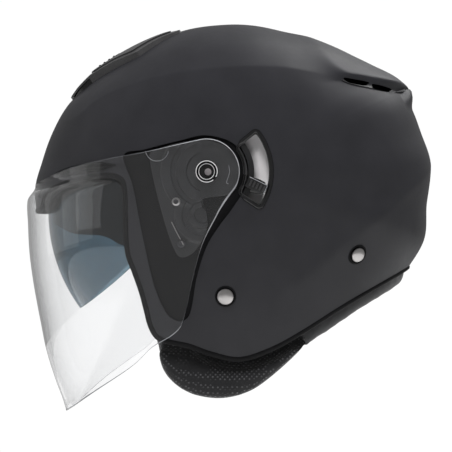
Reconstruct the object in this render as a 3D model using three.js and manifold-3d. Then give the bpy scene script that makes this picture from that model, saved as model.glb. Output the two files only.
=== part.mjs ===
// Open face motorcycle helmet: hard shell, foam liners, long clear visor, drop-down sun visor,
// sliding top vent and a buckled chin strap. Every separate physical piece is one named mesh.
//
// Millimetres and degrees. +Z is up, the front of the helmet is -Y and the wearer's left is +X.
// The origin is the middle of the clear visor's pivot axis. Side outlines are lists of [y, z].

import * as THREE from 'three';
import { mergeVertices } from 'three/addons/utils/BufferGeometryUtils.js';
import Module from 'manifold-3d';

const wasm = await Module();
wasm.setup();

// ---------------------------------------------------------------- driving dimensions

const GAP = 0.4; // clearance between pieces that touch

const SHELL_WALL = 4;
const RECESS_DEPTH = 2.2; // seat for the visor base plate in the side of the shell
const FOAM_CLEARANCE = 0.5;

const HEAD_POCKET = { centre: [17, -24], halfWidth: 86, halfLength: 103, rise: 86 };
const CROWN_PAD = 9;

const VISOR_WALL = 2;
const VISOR_EAR_RADIUS = 22;
const PIVOT_BOSS_RADIUS = 4.6;
const PIVOT_CAP_RADIUS = 7.6;
const PIVOT_SHANK_RADIUS = 2.6;
const PIVOT_HOLE_RADIUS = 3.1;

const SUN_PIVOT = [0, -26];
const SUN_LENS_RADIUS = 114.5; // from the sun visor's pivot axis to the lens, in the middle plane
const SUN_LENS_HALF_WIDTH = 107;
const SUN_LENS_WALL = 2;
const SUN_LENS_POWER = 2.4;
const SUN_PIN_RADIUS = 3.1;

const SLOT_INNER = 27; // lever slot: a ring sector about the visor pivot
const SLOT_OUTER = 43;
const SLOT_LOW = -34;
const SLOT_HIGH = 40;
const LEVER_ANGLE = -16;
const LEVER_PLANE = 112.6; // inner face of the lever arm
const LEVER_ARM_WALL = 2;

const FRONT_RIVET = [12.5, -83.5];
const REAR_RIVET = [101, -55];
const RIVET_HEAD_RADIUS = 5.8;
const RIVET_SHANK_RADIUS = 2.6;
const RIVET_ROOM = 11; // radius kept free of foam round each rivet's tail
const WASHER_RADIUS = 7.4;

const WEB_WIDTH = 23;
const WEB_WALL = 1.6;
const STRAP_Y = 6;
const STRAP_PIVOT_Z = -112;
const STRAP_LOW_Z = -141;
const STRAP_HALF_SPAN = 56;
const STRAP_CURVE = 2.6;

// The outer skin is a rounded dome. Its stations give the distance from the dome centre to the
// side silhouette, at angles measured from straight back and rising over the top.
const SHELL = {
  centre: [19, 0],
  halfWidth: 123,
  power: 2.4,
  stations: [
    [-160, 147], [-148, 152], [-135, 170], [-123, 200], [-110, 230], [-90, 205], [-75, 183],
    [-65, 165], [-52, 150], [-40, 142], [-30, 140.5], [-19, 143.3], [-8, 139], [3, 140.2],
    [13, 136.6], [22, 134.6], [30, 129.3], [39, 119.5], [47, 113.6], [63, 107.4], [77, 105.7],
    [93, 106], [112, 108.8], [124, 110.4], [136, 113.6], [150, 122.6], [157, 128.5], [166, 133.3],
    [176, 138], [184, 143], [192, 144.5],
  ],
};

const VISOR = {
  centre: [0, 0],
  halfWidth: 125.8,
  power: 2.25,
  stations: [
    [-165, 132.5], [-154, 140.5], [-146, 148.5], [-139, 158], [-132, 171], [-127, 181],
    [-121, 196], [-110, 262], [-98, 330], [-60, 330], [0, 150], [100, 123], [184, 123],
    [188, 129.5],
  ],
};

// Raised crown panel: it stands proud of the dome above this line and ends in the rear spoiler.
const CROWN_LINE = [
  [-97, 36], [-85, 40], [-74, 48], [-60, 55], [-40, 61.5], [-18, 66], [13, 70], [45, 71.5],
  [70, 69.8], [88, 67.4], [112, 65], [130, 62.8], [150, 60.2],
];
const CROWN_RISE = 7;

// Top vent: its front tip, how far it stands proud of the shell front to back as [y, height],
// the hood's wall, the slider's seat above the vent's slope line and the slider's thickness.
const VENT_TIP = [0, -97, 54];
const VENT_RISE = [[-97, 1.4], [-88, 3.4], [-75, 4.6], [-60, 4.6], [-45, 3.4], [-22, 1.8]];
const VENT_HOOD = 1.3;
const VENT_TOP = 6.6;
const SLIDER_WALL = 2.6;

// Brow seal: how far it stands off the shell, and how far short of the visor it stops.
const SEAL_RISE = 6;
const SEAL_CLEARANCE = 0.6;

// Countersunk screws that hold each visor base plate.
const PLATE_SCREWS = [[-20.5, -20], [-17, -48]];

// Buckle: where it starts and ends along the strap, and its thickness.
const BUCKLE_FROM = 17;
const BUCKLE_TO = 43;
const BUCKLE_WALL = 9;

// The shell ends at this edge: along the brow, down the cheek and back along the bottom.
const FACE_EDGE = [
  [-130, -25], [-121, -24.6], [-116, -22], [-113.5, -16], [-108.5, -10.5], [-100, -6.8],
  [-88, -3.6], [-74, -1.4], [-64, -1.2], [-57, -4.5], [-54.6, -12], [-54, -30], [-53.6, -46],
  [-52, -57], [-48.5, -66], [-43, -81], [-39.5, -94], [-37.2, -103], [-33, -110.5],
];
const BOTTOM_EDGE = [
  [-26, -113.5], [-12, -116.5], [3, -122], [22, -126], [42, -120], [62, -109.5], [92, -91.5],
  [123, -75], [146, -64],
];
const SHELL_EDGE = [...FACE_EDGE, ...BOTTOM_EDGE];

// The rubber trim runs from TRIM_FROM to TRIM_TO past that edge, a little thicker than the shell.
const TRIM_FROM = 0.9;
const TRIM_TO = 3;
const TRIM_LIP = 1.4;

// ---------------------------------------------------------------- materials

const paint = (color, roughness, metalness = 0) =>
  new THREE.MeshStandardMaterial({ color, roughness, metalness });
const clear = (color, opacity) =>
  new THREE.MeshStandardMaterial({ color, roughness: 0.05, transparent: true, opacity });

const MATERIAL = {
  shell: paint(0x1b1b1c, 0.45),
  foam: paint(0x161616, 0.9),
  fabric: paint(0x1d1d1f, 0.95),
  rubber: paint(0x0d0d0d, 0.8),
  plastic: paint(0x0b0b0c, 0.3),
  clear: clear(0xdfe9ec, 0.25),
  tint: clear(0x4a6878, 0.6),
  steel: paint(0xb9bcc0, 0.3, 1),
  web: paint(0x121212, 0.9),
};

const helmet = new THREE.Group();
helmet.name = 'open_face_helmet';

// ---------------------------------------------------------------- solids

const degrees = (angle) => (angle * Math.PI) / 180;

/** Closed geometry to a boolean-ready solid. */
function solid(geometry) {
  const bare = geometry.clone();
  bare.deleteAttribute('normal');
  bare.deleteAttribute('uv');
  const merged = mergeVertices(bare, 1e-4);
  const mesh = new wasm.Mesh({
    numProp: 3,
    vertProperties: new Float32Array(merged.attributes.position.array),
    triVerts: new Uint32Array(merged.index.array),
  });
  return new wasm.Manifold(mesh);
}

/** Adds one named piece to the helmet. */
function add(name, body, material) {
  const mesh = body.getMesh();
  const geometry = new THREE.BufferGeometry();
  geometry.setAttribute('position', new THREE.BufferAttribute(new Float32Array(mesh.vertProperties), 3));
  geometry.setIndex(new THREE.BufferAttribute(new Uint32Array(mesh.triVerts), 1));
  geometry.computeVertexNormals();
  const piece = new THREE.Mesh(geometry, material);
  piece.name = name;
  helmet.add(piece);
}

const SIDES = [['left', 1], ['right', -1]];
const mirrored = (body) => body.mirror([1, 0, 0]);
const bothSides = (body) => body.add(mirrored(body));
const onSide = (body, side) => (side > 0 ? body : mirrored(body));

/** Adds a piece on the left and its mirror image on the right. */
function addPair(name, body, material) {
  for (const [label, side] of SIDES) {
    add(`${name}_${label}`, onSide(body, side), material);
  }
}

const vectors = (points) => points.map(([a, b]) => new THREE.Vector2(a, b));

/** Side view shape extruded across the helmet from x0 to x1. */
function sidePrism(shape, x0, x1, bevel = 0, curveSegments = 6) {
  const geometry = new THREE.ExtrudeGeometry(shape, {
    depth: x1 - x0 - 2 * bevel,
    curveSegments,
    bevelEnabled: bevel > 0,
    bevelSize: bevel,
    bevelThickness: bevel,
    bevelOffset: -bevel,
    bevelSegments: 3,
  });
  geometry.translate(0, 0, x0 + bevel);
  geometry.applyMatrix4(new THREE.Matrix4().makeBasis(
    new THREE.Vector3(0, 1, 0),
    new THREE.Vector3(0, 0, 1),
    new THREE.Vector3(1, 0, 0),
  ));
  return solid(geometry);
}

/** Closed smooth outline through the points. */
function smoothShape(points, divisions = 4) {
  const closed = new THREE.CatmullRomCurve3(
    points.map(([a, b]) => new THREE.Vector3(a, b, 0)), true, 'centripetal');
  return new THREE.Shape(closed.getPoints(points.length * divisions).slice(0, -1)
    .map((p) => new THREE.Vector2(p.x, p.y)));
}

/** Closed straight-sided outline. */
const polygon = (points) => new THREE.Shape(vectors(points));

/** Ring sector outline about a centre, between two radii and two angles. */
function sectorShape([y, z], inner, outer, low, high) {
  const shape = new THREE.Shape();
  shape.absarc(y, z, outer, degrees(low), degrees(high), false);
  shape.absarc(y, z, inner, degrees(high), degrees(low), true);
  shape.closePath();
  return shape;
}

/** Round piece turned about its own +Z axis from a [radius, height] profile. */
const turned = (profile, segments = 24) => solid(new THREE.LatheGeometry(vectors(profile), segments)
  .rotateX(Math.PI / 2));

/** Cutter for a round hole in the left side of the helmet, about +Z. */
const sideHole = (radius, segments = 20) =>
  turned([[0, 90], [radius, 90], [radius, 150], [0, 150]], segments);

/** Moves a piece made about +Z so that its axis lies along a direction at a point. */
function place(body, point, direction) {
  const turn = new THREE.Quaternion().setFromUnitVectors(
    new THREE.Vector3(0, 0, 1), new THREE.Vector3(...direction).normalize());
  const matrix = new THREE.Matrix4().compose(
    new THREE.Vector3(...point), turn, new THREE.Vector3(1, 1, 1));
  return body.transform(matrix.elements);
}

function box([x0, y0, z0], [x1, y1, z1]) {
  const geometry = new THREE.BoxGeometry(x1 - x0, y1 - y0, z1 - z0);
  geometry.translate((x0 + x1) / 2, (y0 + y1) / 2, (z0 + z1) / 2);
  return solid(geometry);
}

// ---------------------------------------------------------------- domes

/** Smooth closed function of angle through [angle, radius] stations, without overshoot. */
function smoothLoop(stations) {
  const count = stations.length;
  const station = (i) => {
    const turns = Math.floor(i / count);
    const [angle, radius] = stations[i - turns * count];
    return [angle + 360 * turns, radius];
  };
  const slope = (i) => {
    const [a0, r0] = station(i);
    const [a1, r1] = station(i + 1);
    return (r1 - r0) / (a1 - a0);
  };
  const tangent = (i) => {
    const before = slope(i - 1);
    const after = slope(i);
    return before * after > 0 ? (2 * before * after) / (before + after) : 0;
  };
  return (angle) => {
    const start = stations[0][0];
    const a = start + ((((angle - start) % 360) + 360) % 360);
    let i = count - 1;
    while (stations[i][0] > a) {
      i -= 1;
    }
    const [a0, r0] = station(i);
    const [a1, r1] = station(i + 1);
    const span = a1 - a0;
    const t = (a - a0) / span;
    const rise = r1 - r0;
    const start0 = tangent(i) * span;
    const end1 = tangent(i + 1) * span;
    return r0 + t * start0 + t * t * (3 * rise - 2 * start0 - end1)
      + t * t * t * (start0 + end1 - 2 * rise);
  };
}

for (const dome of [SHELL, VISOR]) {
  dome.radiusAt = smoothLoop(dome.stations);
}

/** Surface point, moved out along the surface normal by an offset (a number or a function of y). */
function domePoint(dome, angle, polar, offset) {
  const radius = dome.radiusAt((angle * 180) / Math.PI);
  const exponent = 2 / dome.power;
  const cosine = Math.cos(polar);
  const x = dome.halfWidth * Math.sign(cosine) * Math.abs(cosine) ** exponent;
  const out = radius * Math.sin(polar) ** exponent;
  const normalX = (Math.sign(x) * Math.abs(x / dome.halfWidth) ** (dome.power - 1)) / dome.halfWidth;
  const normalOut = (out / radius) ** (dome.power - 1) / radius;
  const length = Math.hypot(normalX, normalOut);
  const y = dome.centre[0] + out * Math.cos(angle);
  const z = dome.centre[1] + out * Math.sin(angle);
  const move = typeof offset === 'function' ? offset(y) : offset;
  const shift = (move * normalOut) / length;
  return [
    x + (move * normalX) / length,
    y + shift * Math.cos(angle),
    z + shift * Math.sin(angle),
  ];
}

/** Solid dome, offset from its design surface. */
function domeSolid(dome, offset, columns = 32, rows = 14) {
  const positions = [domePoint(dome, 0, 0, offset)];
  for (let j = 1; j < rows; j += 1) {
    for (let i = 0; i < columns; i += 1) {
      positions.push(domePoint(dome, (2 * Math.PI * i) / columns, (Math.PI * j) / rows, offset));
    }
  }
  positions.push(domePoint(dome, 0, Math.PI, offset));
  const last = positions.length - 1;
  const at = (j, i) => 1 + (j - 1) * columns + (i % columns);
  const faces = [];
  for (let i = 0; i < columns; i += 1) {
    faces.push(0, at(1, i), at(1, i + 1));
    for (let j = 1; j < rows - 1; j += 1) {
      faces.push(at(j, i), at(j + 1, i), at(j + 1, i + 1), at(j, i), at(j + 1, i + 1), at(j, i + 1));
    }
    faces.push(last, at(rows - 1, i + 1), at(rows - 1, i));
  }
  const geometry = new THREE.BufferGeometry();
  geometry.setAttribute('position', new THREE.Float32BufferAttribute(positions.flat(), 3));
  geometry.setIndex(faces);
  return solid(geometry);
}

/** Half width of a dome at a side view point, or 0 outside its silhouette. */
function domeX(dome, [y, z], offset = 0) {
  const dy = y - dome.centre[0];
  const dz = z - dome.centre[1];
  const radius = dome.radiusAt((Math.atan2(dz, dy) * 180) / Math.PI) + offset;
  const share = 1 - (Math.hypot(dy, dz) / radius) ** dome.power;
  return share > 0 ? (dome.halfWidth + offset) * share ** (1 / dome.power) : 0;
}

/** Point and outward normal on the left side of a dome. */
function domeFrame(dome, [y, z]) {
  const step = 0.5;
  const x = domeX(dome, [y, z]);
  const slopeY = (domeX(dome, [y + step, z]) - domeX(dome, [y - step, z])) / (2 * step);
  const slopeZ = (domeX(dome, [y, z + step]) - domeX(dome, [y, z - step])) / (2 * step);
  return { point: new THREE.Vector3(x, y, z), normal: new THREE.Vector3(1, -slopeY, -slopeZ).normalize() };
}

/** Part of a dome wall between two offsets, cut out by a side view shape. */
const domeWall = (dome, outer, inner, cutter) =>
  domeSolid(dome, outer).subtract(domeSolid(dome, inner)).intersect(cutter);

// ---------------------------------------------------------------- sweeps

/**
 * Sweeps a closed section along frames. Section points are [outward, sideways]. Sideways is the
 * frame's own side direction or, without one, square to both the path and the frame's normal.
 */
function sweep(frames, section, closed) {
  const count = frames.length;
  const positions = [];
  frames.forEach(({ point, normal, side: ownSide }, i) => {
    const next = closed ? frames[(i + 1) % count] : frames[Math.min(i + 1, count - 1)];
    const previous = closed ? frames[(i + count - 1) % count] : frames[Math.max(i - 1, 0)];
    const along = next.point.clone().sub(previous.point).normalize();
    const side = ownSide ?? new THREE.Vector3().crossVectors(along, normal).normalize();
    const out = new THREE.Vector3().crossVectors(side, along);
    for (const [u, v] of section) {
      positions.push(...point.clone().addScaledVector(out, u).addScaledVector(side, v).toArray());
    }
  });
  const size = section.length;
  const faces = [];
  for (let i = 0; i < (closed ? count : count - 1); i += 1) {
    for (let k = 0; k < size; k += 1) {
      const a = i * size + k;
      const b = i * size + ((k + 1) % size);
      const c = ((i + 1) % count) * size + ((k + 1) % size);
      const d = ((i + 1) % count) * size + k;
      faces.push(a, b, c, a, c, d);
    }
  }
  if (!closed) {
    const end = (count - 1) * size;
    for (const [a, b, c] of THREE.ShapeUtils.triangulateShape(vectors(section), [])) {
      faces.push(a, c, b, end + a, end + b, end + c);
    }
  }
  const geometry = new THREE.BufferGeometry();
  geometry.setAttribute('position', new THREE.Float32BufferAttribute(positions, 3));
  geometry.setIndex(faces);
  const body = solid(geometry);
  if (body.volume() > 0) {
    return body;
  }
  for (let i = 0; i < faces.length; i += 3) {
    [faces[i + 1], faces[i + 2]] = [faces[i + 2], faces[i + 1]];
  }
  geometry.setIndex(faces);
  return solid(geometry);
}

/** Rounded section, half a width by half a height. */
function ovalSection(halfOut, halfSide, corners = 12) {
  return Array.from({ length: corners }, (_, i) => {
    const angle = (2 * Math.PI * i) / corners;
    return [halfOut * Math.cos(angle), halfSide * Math.sin(angle)];
  });
}

/** Evenly spaced frames on a dome above a side view line, from its first to its last point. */
function domePath(dome, sidePoints, offset, count) {
  const line = new THREE.SplineCurve(vectors(sidePoints)).getPoints(1500);
  const points = line
    .map((p) => new THREE.Vector3(domeX(dome, [p.x, p.y], offset), p.x, p.y))
    .filter((p) => p.x > 0);
  const lengths = [0];
  for (let i = 1; i < points.length; i += 1) {
    lengths.push(lengths[i - 1] + points[i].distanceTo(points[i - 1]));
  }
  const total = lengths[lengths.length - 1];
  const frames = [];
  let k = 0;
  for (let i = 0; i < count; i += 1) {
    while (lengths[k + 1] < (total * i) / (count - 1)) {
      k += 1;
    }
    const point = points[Math.min(k + 1, points.length - 1)];
    const dy = (point.y - dome.centre[0]);
    const dz = (point.z - dome.centre[1]);
    const out = Math.hypot(dy, dz);
    const radius = dome.radiusAt((Math.atan2(dz, dy) * 180) / Math.PI);
    const normalX = (point.x / dome.halfWidth) ** (dome.power - 1) / dome.halfWidth;
    const normalOut = (out / radius) ** (dome.power - 1) / radius;
    const normal = new THREE.Vector3(normalX, (normalOut * dy) / out, (normalOut * dz) / out);
    const before = points[Math.max(k - 1, 0)];
    const edge = new THREE.Vector3(0, point.z - before.z, before.y - point.y).normalize();
    frames.push({ point, normal: normal.normalize(), edge });
  }
  return frames;
}

/** Carries a left side path over the middle plane and on down the right side. */
function acrossMiddle(frames, closed) {
  const flip = (v) => new THREE.Vector3(-v.x, v.y, v.z);
  const last = frames[frames.length - 1];
  for (const { point, normal } of closed ? [frames[0], last] : [last]) {
    point.x = 0;
    normal.setX(0).normalize();
  }
  const right = frames.map(({ point, normal, edge }) => ({ point: flip(point), normal: flip(normal), edge }));
  return closed
    ? [...frames, ...right.slice(1, -1).reverse()]
    : [...frames, ...right.reverse().slice(1)];
}

// ---------------------------------------------------------------- shared cutters

/** Everything in front of the face opening and below the bottom edge. */
function openingCutter() {
  const shape = new THREE.Shape();
  shape.moveTo(-220, SHELL_EDGE[0][1]);
  shape.lineTo(...SHELL_EDGE[0]);
  shape.splineThru(vectors(SHELL_EDGE.slice(1)));
  shape.lineTo(230, -30);
  shape.lineTo(230, -300);
  shape.lineTo(-220, -300);
  return sidePrism(shape, -160, 160, 0, 5);
}

/** Headroom: a dome on straight walls that run down out of the helmet. */
function headPocket(grow) {
  const { centre, halfWidth, halfLength, rise } = HEAD_POCKET;
  const quarter = Array.from({ length: 10 }, (_, i) => {
    const angle = degrees(i * 10);
    return [Math.cos(angle), Math.sin(angle)];
  });
  const profile = [[0, -3], [1, -3], ...quarter.slice(0, -1), [0, 1]];
  const pocket = turned(profile, 24);
  const matrix = new THREE.Matrix4()
    .makeScale(halfWidth + grow, halfLength + grow, rise + grow)
    .setPosition(0, centre[0], centre[1]);
  return pocket.transform(matrix.elements);
}

const opening = openingCutter();

function slotCutter(grow, x0, x1) {
  const outline = sectorShape(
    [0, 0], SLOT_INNER - grow, SLOT_OUTER + grow, SLOT_LOW - grow, SLOT_HIGH + grow);
  return sidePrism(outline, x0, x1, 0, 10);
}

const PLATE_OUTLINE = [
  [0, 21], [-18, 19.5], [-36, 14], [-38, 8], [-35, -8], [-29, -31], [-23, -49], [-18, -57],
  [-10, -55], [-3, -46], [0.5, -36], [4, -24], [17, -14], [21.5, 0], [16, 14],
];

const RECESS_OUTLINE = [
  [0, 24.5], [-18, 22.5], [-42, 17], [-62, 11], [-60, -8], [-52, -28], [-44, -48], [-20, -62],
  [-6, -56], [5, -42], [13, -27], [25, -15], [26, 0], [18, 18],
];

// ---------------------------------------------------------------- shell

/** How far the crown panel stands proud, growing from the brow to the rear spoiler. */
const crownRise = (y) => CROWN_RISE * Math.max(0, (y + 95) / 240) ** 1.3;

function crownPanel() {
  const shape = new THREE.Shape();
  shape.moveTo(-140, 20);
  shape.splineThru(vectors(CROWN_LINE));
  shape.lineTo(230, 90);
  shape.lineTo(230, 160);
  shape.lineTo(-140, 160);
  return domeSolid(SHELL, crownRise).intersect(sidePrism(shape, -160, 160, 0, 4));
}

function rivetFrame(side, place2d) {
  const { point, normal } = domeFrame(SHELL, place2d);
  return { point: [side * point.x, point.y, point.z], normal: [side * normal.x, normal.y, normal.z] };
}

/** The same drilled hole for each rivet shank, on both sides. */
function rivetHoles(radius) {
  const holes = [];
  for (const [, side] of SIDES) {
    for (const spot of [FRONT_RIVET, REAR_RIVET]) {
      const { point, normal } = rivetFrame(side, spot);
      holes.push(place(turned([[0, -14], [radius, -14], [radius, 8], [0, 8]], 16), point, normal));
    }
  }
  return wasm.Manifold.union(holes);
}

/** The two extractor slots on the left, through the grille and the shell behind it. */
const EXTRACTOR_SLOTS = [
  [[93.5, 65.2], [101, 64.4], [110.8, 62.4], [109, 60.2], [100, 61.6]],
  [[115.2, 61.9], [127.6, 59], [125.8, 57.2], [114.4, 58.9]],
];

const extractorSlots = () => wasm.Manifold.union(
  EXTRACTOR_SLOTS.map((points) => sidePrism(polygon(points), 8, 160)));

function ventDuct() {
  return place(
    box([-20, -5, -14], [20, 5, 14]), [0, -66, 76], [0, -0.55, 0.83]);
}

function outerShell() {
  const skin = domeSolid(SHELL, 0).add(crownPanel());
  const seat = sidePrism(smoothShape(RECESS_OUTLINE, 2), 60, 160);
  const seatBand = seat.subtract(domeSolid(SHELL, -RECESS_DEPTH));
  const plateHole = sideHole(PIVOT_HOLE_RADIUS);
  let shell = skin.subtract(domeSolid(SHELL, -SHELL_WALL));
  shell = shell.subtract(seatBand).subtract(mirrored(seatBand));
  shell = shell.subtract(opening);
  shell = shell.subtract(slotCutter(0, 90, 160));
  shell = shell.subtract(rivetHoles(RIVET_SHANK_RADIUS + GAP));
  shell = shell.subtract(ventDuct());
  shell = shell.subtract(extractorSlots()).subtract(mirrored(extractorSlots()));
  for (const [, side] of SIDES) {
    shell = shell.subtract(place(plateHole, [0, 0, 0], [side, 0, 0]));
  }
  return shell;
}

/** Strip along the shell's cut edge, from one distance past the edge to another. */
function edgeStrip(grow, from, to) {
  const frames = acrossMiddle(domePath(SHELL, SHELL_EDGE, -SHELL_WALL / 2, 60), true)
    .map((frame) => ({ ...frame, side: frame.edge }));
  const half = SHELL_WALL / 2 + 1.6 + grow;
  return sweep(frames, [[half, from], [half, to - TRIM_LIP], [half - 1.8, to], [1.8 - half, to],
    [-half, to - TRIM_LIP], [-half, from]], true);
}

/** Rubber strip along the shell's cut edge all the way round, clear of the visor at the brow. */
const edgeTrim = () => edgeStrip(0, TRIM_FROM, TRIM_TO)
  .intersect(domeSolid(VISOR, -VISOR_WALL / 2 - SEAL_CLEARANCE));

// ---------------------------------------------------------------- foam and padding

/** Room between shell and foam for the sun visor, its arms and the lever. */
function sunVisorRoom() {
  const sweepArea = sidePrism(sectorShape(SUN_PIVOT, 0.5, 135, 118, 236), -160, 160, 0, 12);
  const lensRoom = sweepArea.subtract(sunLensBody(-3.2));
  const mechanism = new THREE.Shape();
  mechanism.absellipse(4, -4, 58, 54, 0, 2 * Math.PI, false, 0);
  const leverRoom = sidePrism(mechanism, 97.5, 160, 0, 20);
  return lensRoom.add(leverRoom).add(mirrored(leverRoom));
}

function foamLiner() {
  const lower = new THREE.Shape();
  lower.moveTo(-220, -31);
  lower.splineThru(vectors([
    [-110, -33], [-100, -37.5], [-90, -41.5], [-70, -43], [-58, -49], [-40, -55], [20, -60],
    [60, -62], [100, -57],
  ]));
  lower.lineTo(230, -44);
  lower.lineTo(230, -300);
  lower.lineTo(-220, -300);
  const outer = domeSolid(SHELL, -SHELL_WALL - FOAM_CLEARANCE);
  return outer.subtract(headPocket(0))
    .subtract(sidePrism(lower, -160, 160, 0, 6))
    .subtract(sunVisorRoom())
    .subtract(ventDuct())
    .subtract(rivetHoles(RIVET_ROOM))
    .subtract(bothSides(strapRear(2)));
}

function crownLiner() {
  const lower = polygon([
    [-220, -28], [-86, -31], [-60, -38], [-20, -46], [100, -50], [230, -46], [230, -300], [-220, -300],
  ]);
  const layer = headPocket(-GAP).subtract(headPocket(-CROWN_PAD));
  return layer.subtract(sidePrism(lower, -160, 160));
}

const CHEEK_OUTLINE = [
  [-30, -60], [20, -66], [52, -70], [58, -100], [44, -112], [20, -119], [0, -115], [-30, -107],
  [-36, -96],
];

function cheekFoam() {
  const outer = domeSolid(SHELL, -SHELL_WALL - FOAM_CLEARANCE);
  const block = sidePrism(smoothShape(CHEEK_OUTLINE, 3), 84.6, 130).intersect(outer);
  return block.subtract(rivetHoles(RIVET_ROOM)).subtract(edgeStrip(0.6, -7, 5))
    .subtract(strapAnchorBand(4, 3)).subtract(strapRear(2));
}

const CHEEK_PAD_OUTLINE = [
  [-31, -64], [20, -69], [48, -75], [60, -88], [67.5, -100], [71, -108], [68.5, -117], [60, -126],
  [47, -137.6], [33, -148.6], [20, -153.6], [7, -155.5], [-14, -151], [-29, -139], [-36.5, -121],
  [-38, -100],
];

/** Cheek pad: a thick block against the face, swelling outwards below the shell. */
function cheekPad() {
  const outline = smoothShape(CHEEK_PAD_OUTLINE, 2);
  const block = sidePrism(outline, 62, 84, 8);
  const underShell = polygon([
    [-70, -50], [-60, -112], [-36, -118], [-18, -121.5], [4, -129.5], [24, -132.5], [44, -127.5],
    [80, -108], [80, -50],
  ]);
  const roll = sidePrism(outline, 66, 101, 7).subtract(sidePrism(underShell, 60, 130));
  return block.add(roll).subtract(strapSlot());
}

/** Neck roll: a padded collar under the rear edge, open at the front. */
function neckRoll() {
  const line = [[73.2, -102.3], [83, -96], [96, -88.5], [112, -79], [124, -72.5], [140, -64]];
  const frames = acrossMiddle(domePath(SHELL, line, -16, 13), false)
    .map((frame) => ({ ...frame, side: frame.edge }));
  return sweep(frames, ovalSection(9.5, 12.5, 12), false);
}

// ---------------------------------------------------------------- brow seal and vents

/** Soft strip on the brow that the closed visor's top edge stops just short of. */
function browSeal() {
  const shape = new THREE.Shape();
  shape.moveTo(-150, -9.6);
  shape.splineThru(vectors([[-120, -8], [-107, -2], [-92, 3], [-70, 6.6], [-60, 7.6]]));
  shape.lineTo(-60, 2);
  shape.splineThru(vectors([[-74, 1.4], [-88, -0.8], [-100, -4], [-108, -8], [-112, -13], [-120, -16]]));
  shape.lineTo(-150, -16);
  const band = domeSolid(SHELL, SEAL_RISE).subtract(domeSolid(SHELL, GAP));
  return band.intersect(sidePrism(shape, -160, 160))
    .intersect(domeSolid(VISOR, -VISOR_WALL / 2 - SEAL_CLEARANCE));
}

const VENT_AXIS = new THREE.Vector3(0, 74, 49).normalize();
const VENT_NORMAL = new THREE.Vector3(0, -49, 74).normalize();

/** Plan outline drawn square to the vent: [along the slope from its front tip, across]. */
function ventPlan(points, low, high) {
  const shape = smoothShape(points, 4);
  const geometry = new THREE.ExtrudeGeometry(shape, { depth: high - low, bevelEnabled: false });
  geometry.translate(0, 0, low);
  geometry.applyMatrix4(new THREE.Matrix4().makeBasis(
    VENT_AXIS, new THREE.Vector3(-1, 0, 0), VENT_NORMAL).setPosition(...VENT_TIP));
  return solid(geometry);
}

const VENT_PLAN = [
  [0, 0], [1, 24], [8, 32], [24, 38], [40, 47], [54, 56], [61, 55], [76, 46], [88, 39], [91, 34],
  [86, 24], [82, 0], [86, -24], [91, -34], [88, -39], [76, -46], [61, -55], [54, -56], [40, -47],
  [24, -38], [8, -32], [1, -24],
];
const SLIDER_PLAN = [[24, 9], [36, 10.5], [46, 9], [48, 0], [46, -9], [36, -10.5], [24, -9], [22, 0]];

/** A block laid along the vent slope: lengths along, half width across and height above the slope. */
function ventBlock(from, to, halfWidth, low, high) {
  const geometry = new THREE.BoxGeometry(to - from, 2 * halfWidth, high - low);
  geometry.translate((from + to) / 2, 0, (low + high) / 2);
  geometry.applyMatrix4(new THREE.Matrix4().makeBasis(
    VENT_AXIS, new THREE.Vector3(-1, 0, 0), VENT_NORMAL).setPosition(...VENT_TIP));
  return solid(geometry);
}

/** Height of the vent over the shell, by straight lines between the VENT_RISE points. */
function ventRise(y) {
  const next = VENT_RISE.findIndex(([at]) => at >= y);
  if (next <= 0) {
    return next === 0 ? VENT_RISE[0][1] : VENT_RISE[VENT_RISE.length - 1][1];
  }
  const [y0, low] = VENT_RISE[next - 1];
  const [y1, high] = VENT_RISE[next];
  return low + ((high - low) * (y - y0)) / (y1 - y0);
}

/** Top vent: a wide pod over the brow, hooded at its mouth, with a pocket for the slider. */
function ventHousing() {
  const raised = domeSolid(SHELL, (y) => crownRise(y) + ventRise(y));
  const base = domeSolid(SHELL, (y) => crownRise(y) + GAP);
  const underHood = domeSolid(SHELL, (y) => crownRise(y) + Math.max(GAP, ventRise(y) - VENT_HOOD));
  const mouth = underHood.intersect(ventBlock(-10, 18, 45, -30, 30));
  return raised.subtract(base).intersect(ventPlan(VENT_PLAN, -30, 30))
    .subtract(mouth)
    .subtract(ventBlock(20, 60, 12, VENT_TOP, 40))
    .subtract(ventBlock(34, 50, 8, -10, VENT_TOP + 1));
}

/** Sliding shutter in the vent's pocket, with three grip ribs. */
function ventSlider() {
  const seat = VENT_TOP + GAP;
  const top = seat + SLIDER_WALL;
  let slider = ventPlan(SLIDER_PLAN, seat, top);
  for (const along of [30, 34, 38]) {
    slider = slider.add(ventBlock(along, along + 1.6, 6, top - 0.2, top + 1));
  }
  return slider;
}

/** Rear extractor grille: a slim plate with two slots, tucked under the spoiler lip. */
function rearGrille() {
  const outline = smoothShape([
    [87, 66.4], [100, 65.4], [112, 64.2], [128, 62.2], [133, 60], [128, 56.5], [110, 58.6],
    [94, 60.6],
  ], 2);
  const skin = domeSolid(SHELL, 2).subtract(domeSolid(SHELL, GAP));
  return skin.intersect(sidePrism(outline, 8, 160)).subtract(extractorSlots());
}

// ---------------------------------------------------------------- clear visor

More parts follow.
